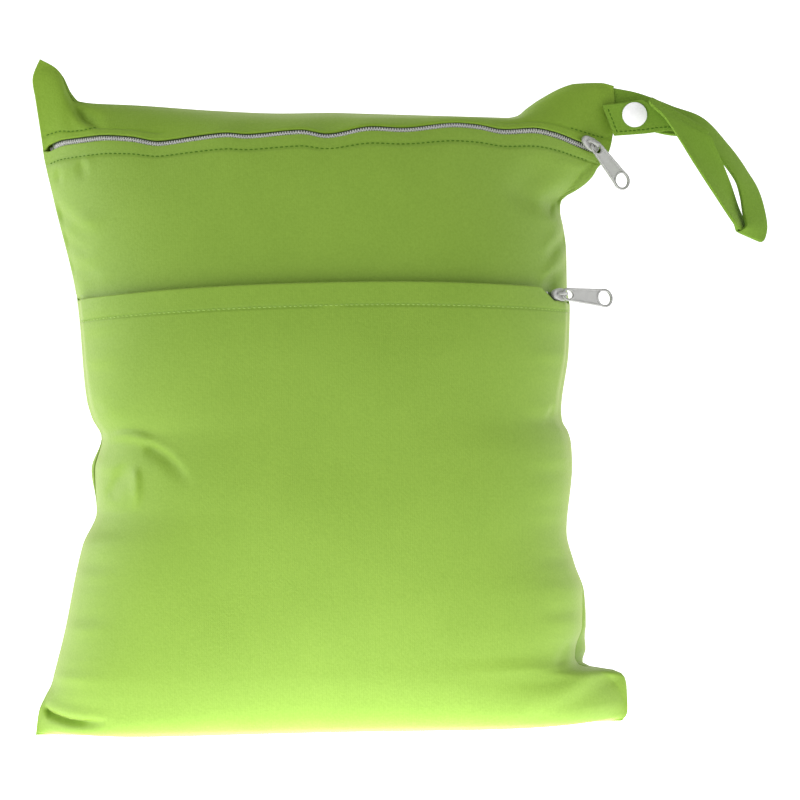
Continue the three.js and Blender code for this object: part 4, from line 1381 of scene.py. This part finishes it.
# %% Thread, zip, metal and resin
TAPE_THREAD = 0.0005


def thread_look(name, shade, light):
    """Twisted thread: fine slanting stripes of light and shade."""
    material, wire, shader = look(name)
    sockets = {"Vector": wire.place(), "Scale": 900, "Distortion": 2}
    twist = wire.node("ShaderNodeTexWave", {"bands_direction": "DIAGONAL"}, sockets, output=1)
    feed(shader, Base_Color=twist.mix(shade, light), Roughness=0.7, Specular_IOR_Level=0.1)
    return material


def coil_look():
    """Drawn nylon: pale grey, slightly glossy, with faint uneven tone."""
    material, wire, shader = look("pale_nylon")
    tone = wire.noise(600)
    feed(shader, Base_Color=tone.mix((0.52, 0.52, 0.51, 1), (0.64, 0.64, 0.62, 1)))
    feed(shader, Roughness=0.3 + 0.15 * tone)
    return material


def tape_look():
    """Woven tape: a plain weave along the cut, the product of two waves of its threads. Its
    dark green is partly the tape's own dye and partly painted shade for the dark line over the
    coil.
    """
    material, wire, shader = look("woven_tape_painted_shade")
    across = wire.cut().split()
    along = across.output(1)
    weave = (across / TAPE_THREAD).triangle() * (along / TAPE_THREAD).triangle()
    # Painted shade: the tape's dark green, partly its own dye, stands in for the shadow line over
    # the coil.
    feed(shader, Base_Color=weave.mix((0.1, 0.15, 0.06, 1), (0.16, 0.22, 0.1, 1)))
    feed(shader, Roughness=0.8, Normal=weave.bump(0.3, 0.0002))
    return material


def lacquer_look():
    """Lacquered zinc: pale grey, with casting unevenness and a soft shine."""
    material, wire, shader = look("grey_lacquer")
    cast = wire.noise(420, 4)
    feed(shader, Base_Color=cast.mix((0.38, 0.38, 0.37, 1), (0.5, 0.5, 0.485, 1)))
    feed(shader, Roughness=0.28 + 0.18 * cast, Metallic=0.2, Normal=cast.bump(0.08, 0.0003))
    return material


def resin_look():
    """Moulded white resin: smooth, with a faint orange peel under its shine."""
    material, wire, shader = look("white_resin")
    peel = wire.noise(300)
    feed(shader, Base_Color=peel.mix((0.94, 0.94, 0.94, 1), (0.99, 0.99, 0.99, 1)))
    feed(shader, Roughness=0.22 + 0.1 * peel, Normal=peel.bump(0.04, 0.0002))
    return material


finishes = [
    # Partly painted shade: the zip rows' thread is darker than the hem's, the holes' shade over the
    # thread's own green.
    (thread_look("dark_thread_painted_shade", (0.05, 0.13, 0.008, 1), (0.085, 0.19, 0.014, 1)), [zip_stitches]),
    (thread_look("pale_thread", (0.23, 0.37, 0.06, 1), (0.32, 0.48, 0.12, 1)), [hem_stitches]),
    (coil_look(), [main_coil, pocket_coil]),
    (tape_look(), [main_tape, pocket_tape]),
    (lacquer_look(), [main_slider, pocket_slider, main_pull, pocket_pull]),
    (resin_look(), [snap_cap, snap_stud]),
]
dress(finishes)
print("materials:", sorted(m.name for m in bpy.data.materials))

# %% [markdown]
# ## Stage and light
#
# The bag stands in a white tent: a glowing floor, bright sides and back, and weak light from
# above. The floor's glow is strongest near the bag, which lights its lower half from below.
# The left wall and the floor before it are a little brighter than the right.

# %% Floor
# Lengths in metres. The glow is a sum: everywhere, from a line before the bag backwards, round
# the bag, and at the left.
FLOOR = {"half": 30.0, "drop": 0.0003}
GLOW = {"all": 0.06, "floor": 0.5, "near": 2.0, "left": 0.45}
GLOW_STEPS = {"floor": (-0.9, -0.4), "near": (0.03, 0.38), "left": (0.25, 0.6)}
WHITE = (1, 1, 1, 1)
BLACK = (0, 0, 0, 1)
BRIGHTEST = 3
STRENGTH = 3.8

floor_mesh = bpy.data.meshes.new("floor")
half = FLOOR["half"]
floor_corners = [(-half, -half, 0), (half, -half, 0), (half, half, 0), (-half, half, 0)]
floor_mesh.from_pydata(floor_corners, [], [(0, 1, 2, 3)])
floor = bpy.data.objects.new("floor", floor_mesh)
floor.location.z = -FLOOR["drop"]
bpy.context.scene.collection.objects.link(floor)
floor_look, wire, shader = look("white_floor")
place = wire.place()
away = wire.node("ShaderNodeVectorMath", {"operation": "LENGTH"}, {0: place}, output=1)
x = place.split()
y = x.output(1)
glow = GLOW["all"] + GLOW["floor"] * y.step(*GLOW_STEPS["floor"])
glow = glow + GLOW["near"] * (1 - away.step(*GLOW_STEPS["near"]))
glow = glow + GLOW["left"] * (-1 * x).step(*GLOW_STEPS["left"])
feed(shader, Base_Color=(0.85, 0.85, 0.85, 1), Roughness=0.9, Specular_IOR_Level=0.1)
feed(shader, Emission_Color=(glow / BRIGHTEST).mix(BLACK, WHITE), Emission_Strength=STRENGTH)
floor_mesh.materials.append(floor_look)
print("floor", 2 * half, "m wide")

# %% Tent
# The walls by the direction of the light: x to the right, y to the back, z up.
TENT = {"all": 0.19, "above": 0.35, "back": 0.95, "sides": 2.7, "lean": 1.2}
TENT_STEPS = {"above": (0.3, 0.85), "back": (0.1, 0.6), "sides": (0.48, 1), "top": (0.12, 0.75)}

tent = bpy.data.worlds.new("tent")
bpy.context.scene.world = tent
tent.use_nodes = True
x = Wire(tent.node_tree).node("ShaderNodeTexCoord").split()
y, z = x.output(1), x.output(2)
low = 1 - z.step(*TENT_STEPS["top"])
sides = (TENT["sides"] - TENT["lean"] * x) * x.size().step(*TENT_STEPS["sides"])
wall = low.maths("MAXIMUM", sides, TENT["back"] * y.step(*TENT_STEPS["back"]))
sky = TENT["all"] + TENT["above"] * z.step(*TENT_STEPS["above"]) + low * wall
background = tent.node_tree.nodes["Background"]
feed(background, Color=(sky / BRIGHTEST).mix(BLACK, WHITE), Strength=STRENGTH)
bpy.context.scene.view_settings.view_transform = "Standard"
print("tent made")

# %% [markdown]
# ## Camera
#
# A long lens from 2.5 m keeps the sides of the bag parallel. It looks at the bag nearly level.
# The picture is rolled by a degree, as it was taken, and its width is set by how many
# millimetres it spans at the bag.

# %% Camera
CAMERA = {
    "distance": 2500, "elevation": 0.5, "roll": 1.2, "view_width": 399, "sensor": 36,
    "aim_x": 37.3, "aim_z": 164,
}
aim = Vector((CAMERA["aim_x"], SEAM_Y, CAMERA["aim_z"])) * MM
rise = math.radians(CAMERA["elevation"])
back = Vector((0, -math.cos(rise), math.sin(rise)))
camera_data = bpy.data.cameras.new("camera")
camera_data.sensor_width = CAMERA["sensor"]
camera_data.lens = CAMERA["sensor"] * CAMERA["distance"] / CAMERA["view_width"]
camera = bpy.data.objects.new("camera", camera_data)
camera.rotation_mode = "QUATERNION"
roll = Matrix.Rotation(math.radians(-CAMERA["roll"]), 3, "Z").to_quaternion()
camera.rotation_quaternion = (-back).to_track_quat("-Z", "Y") @ roll
camera.location = aim + back * CAMERA["distance"] * MM
bpy.context.scene.collection.objects.link(camera)
bpy.context.scene.camera = camera
print("lens", round(camera_data.lens, 1), "mm")
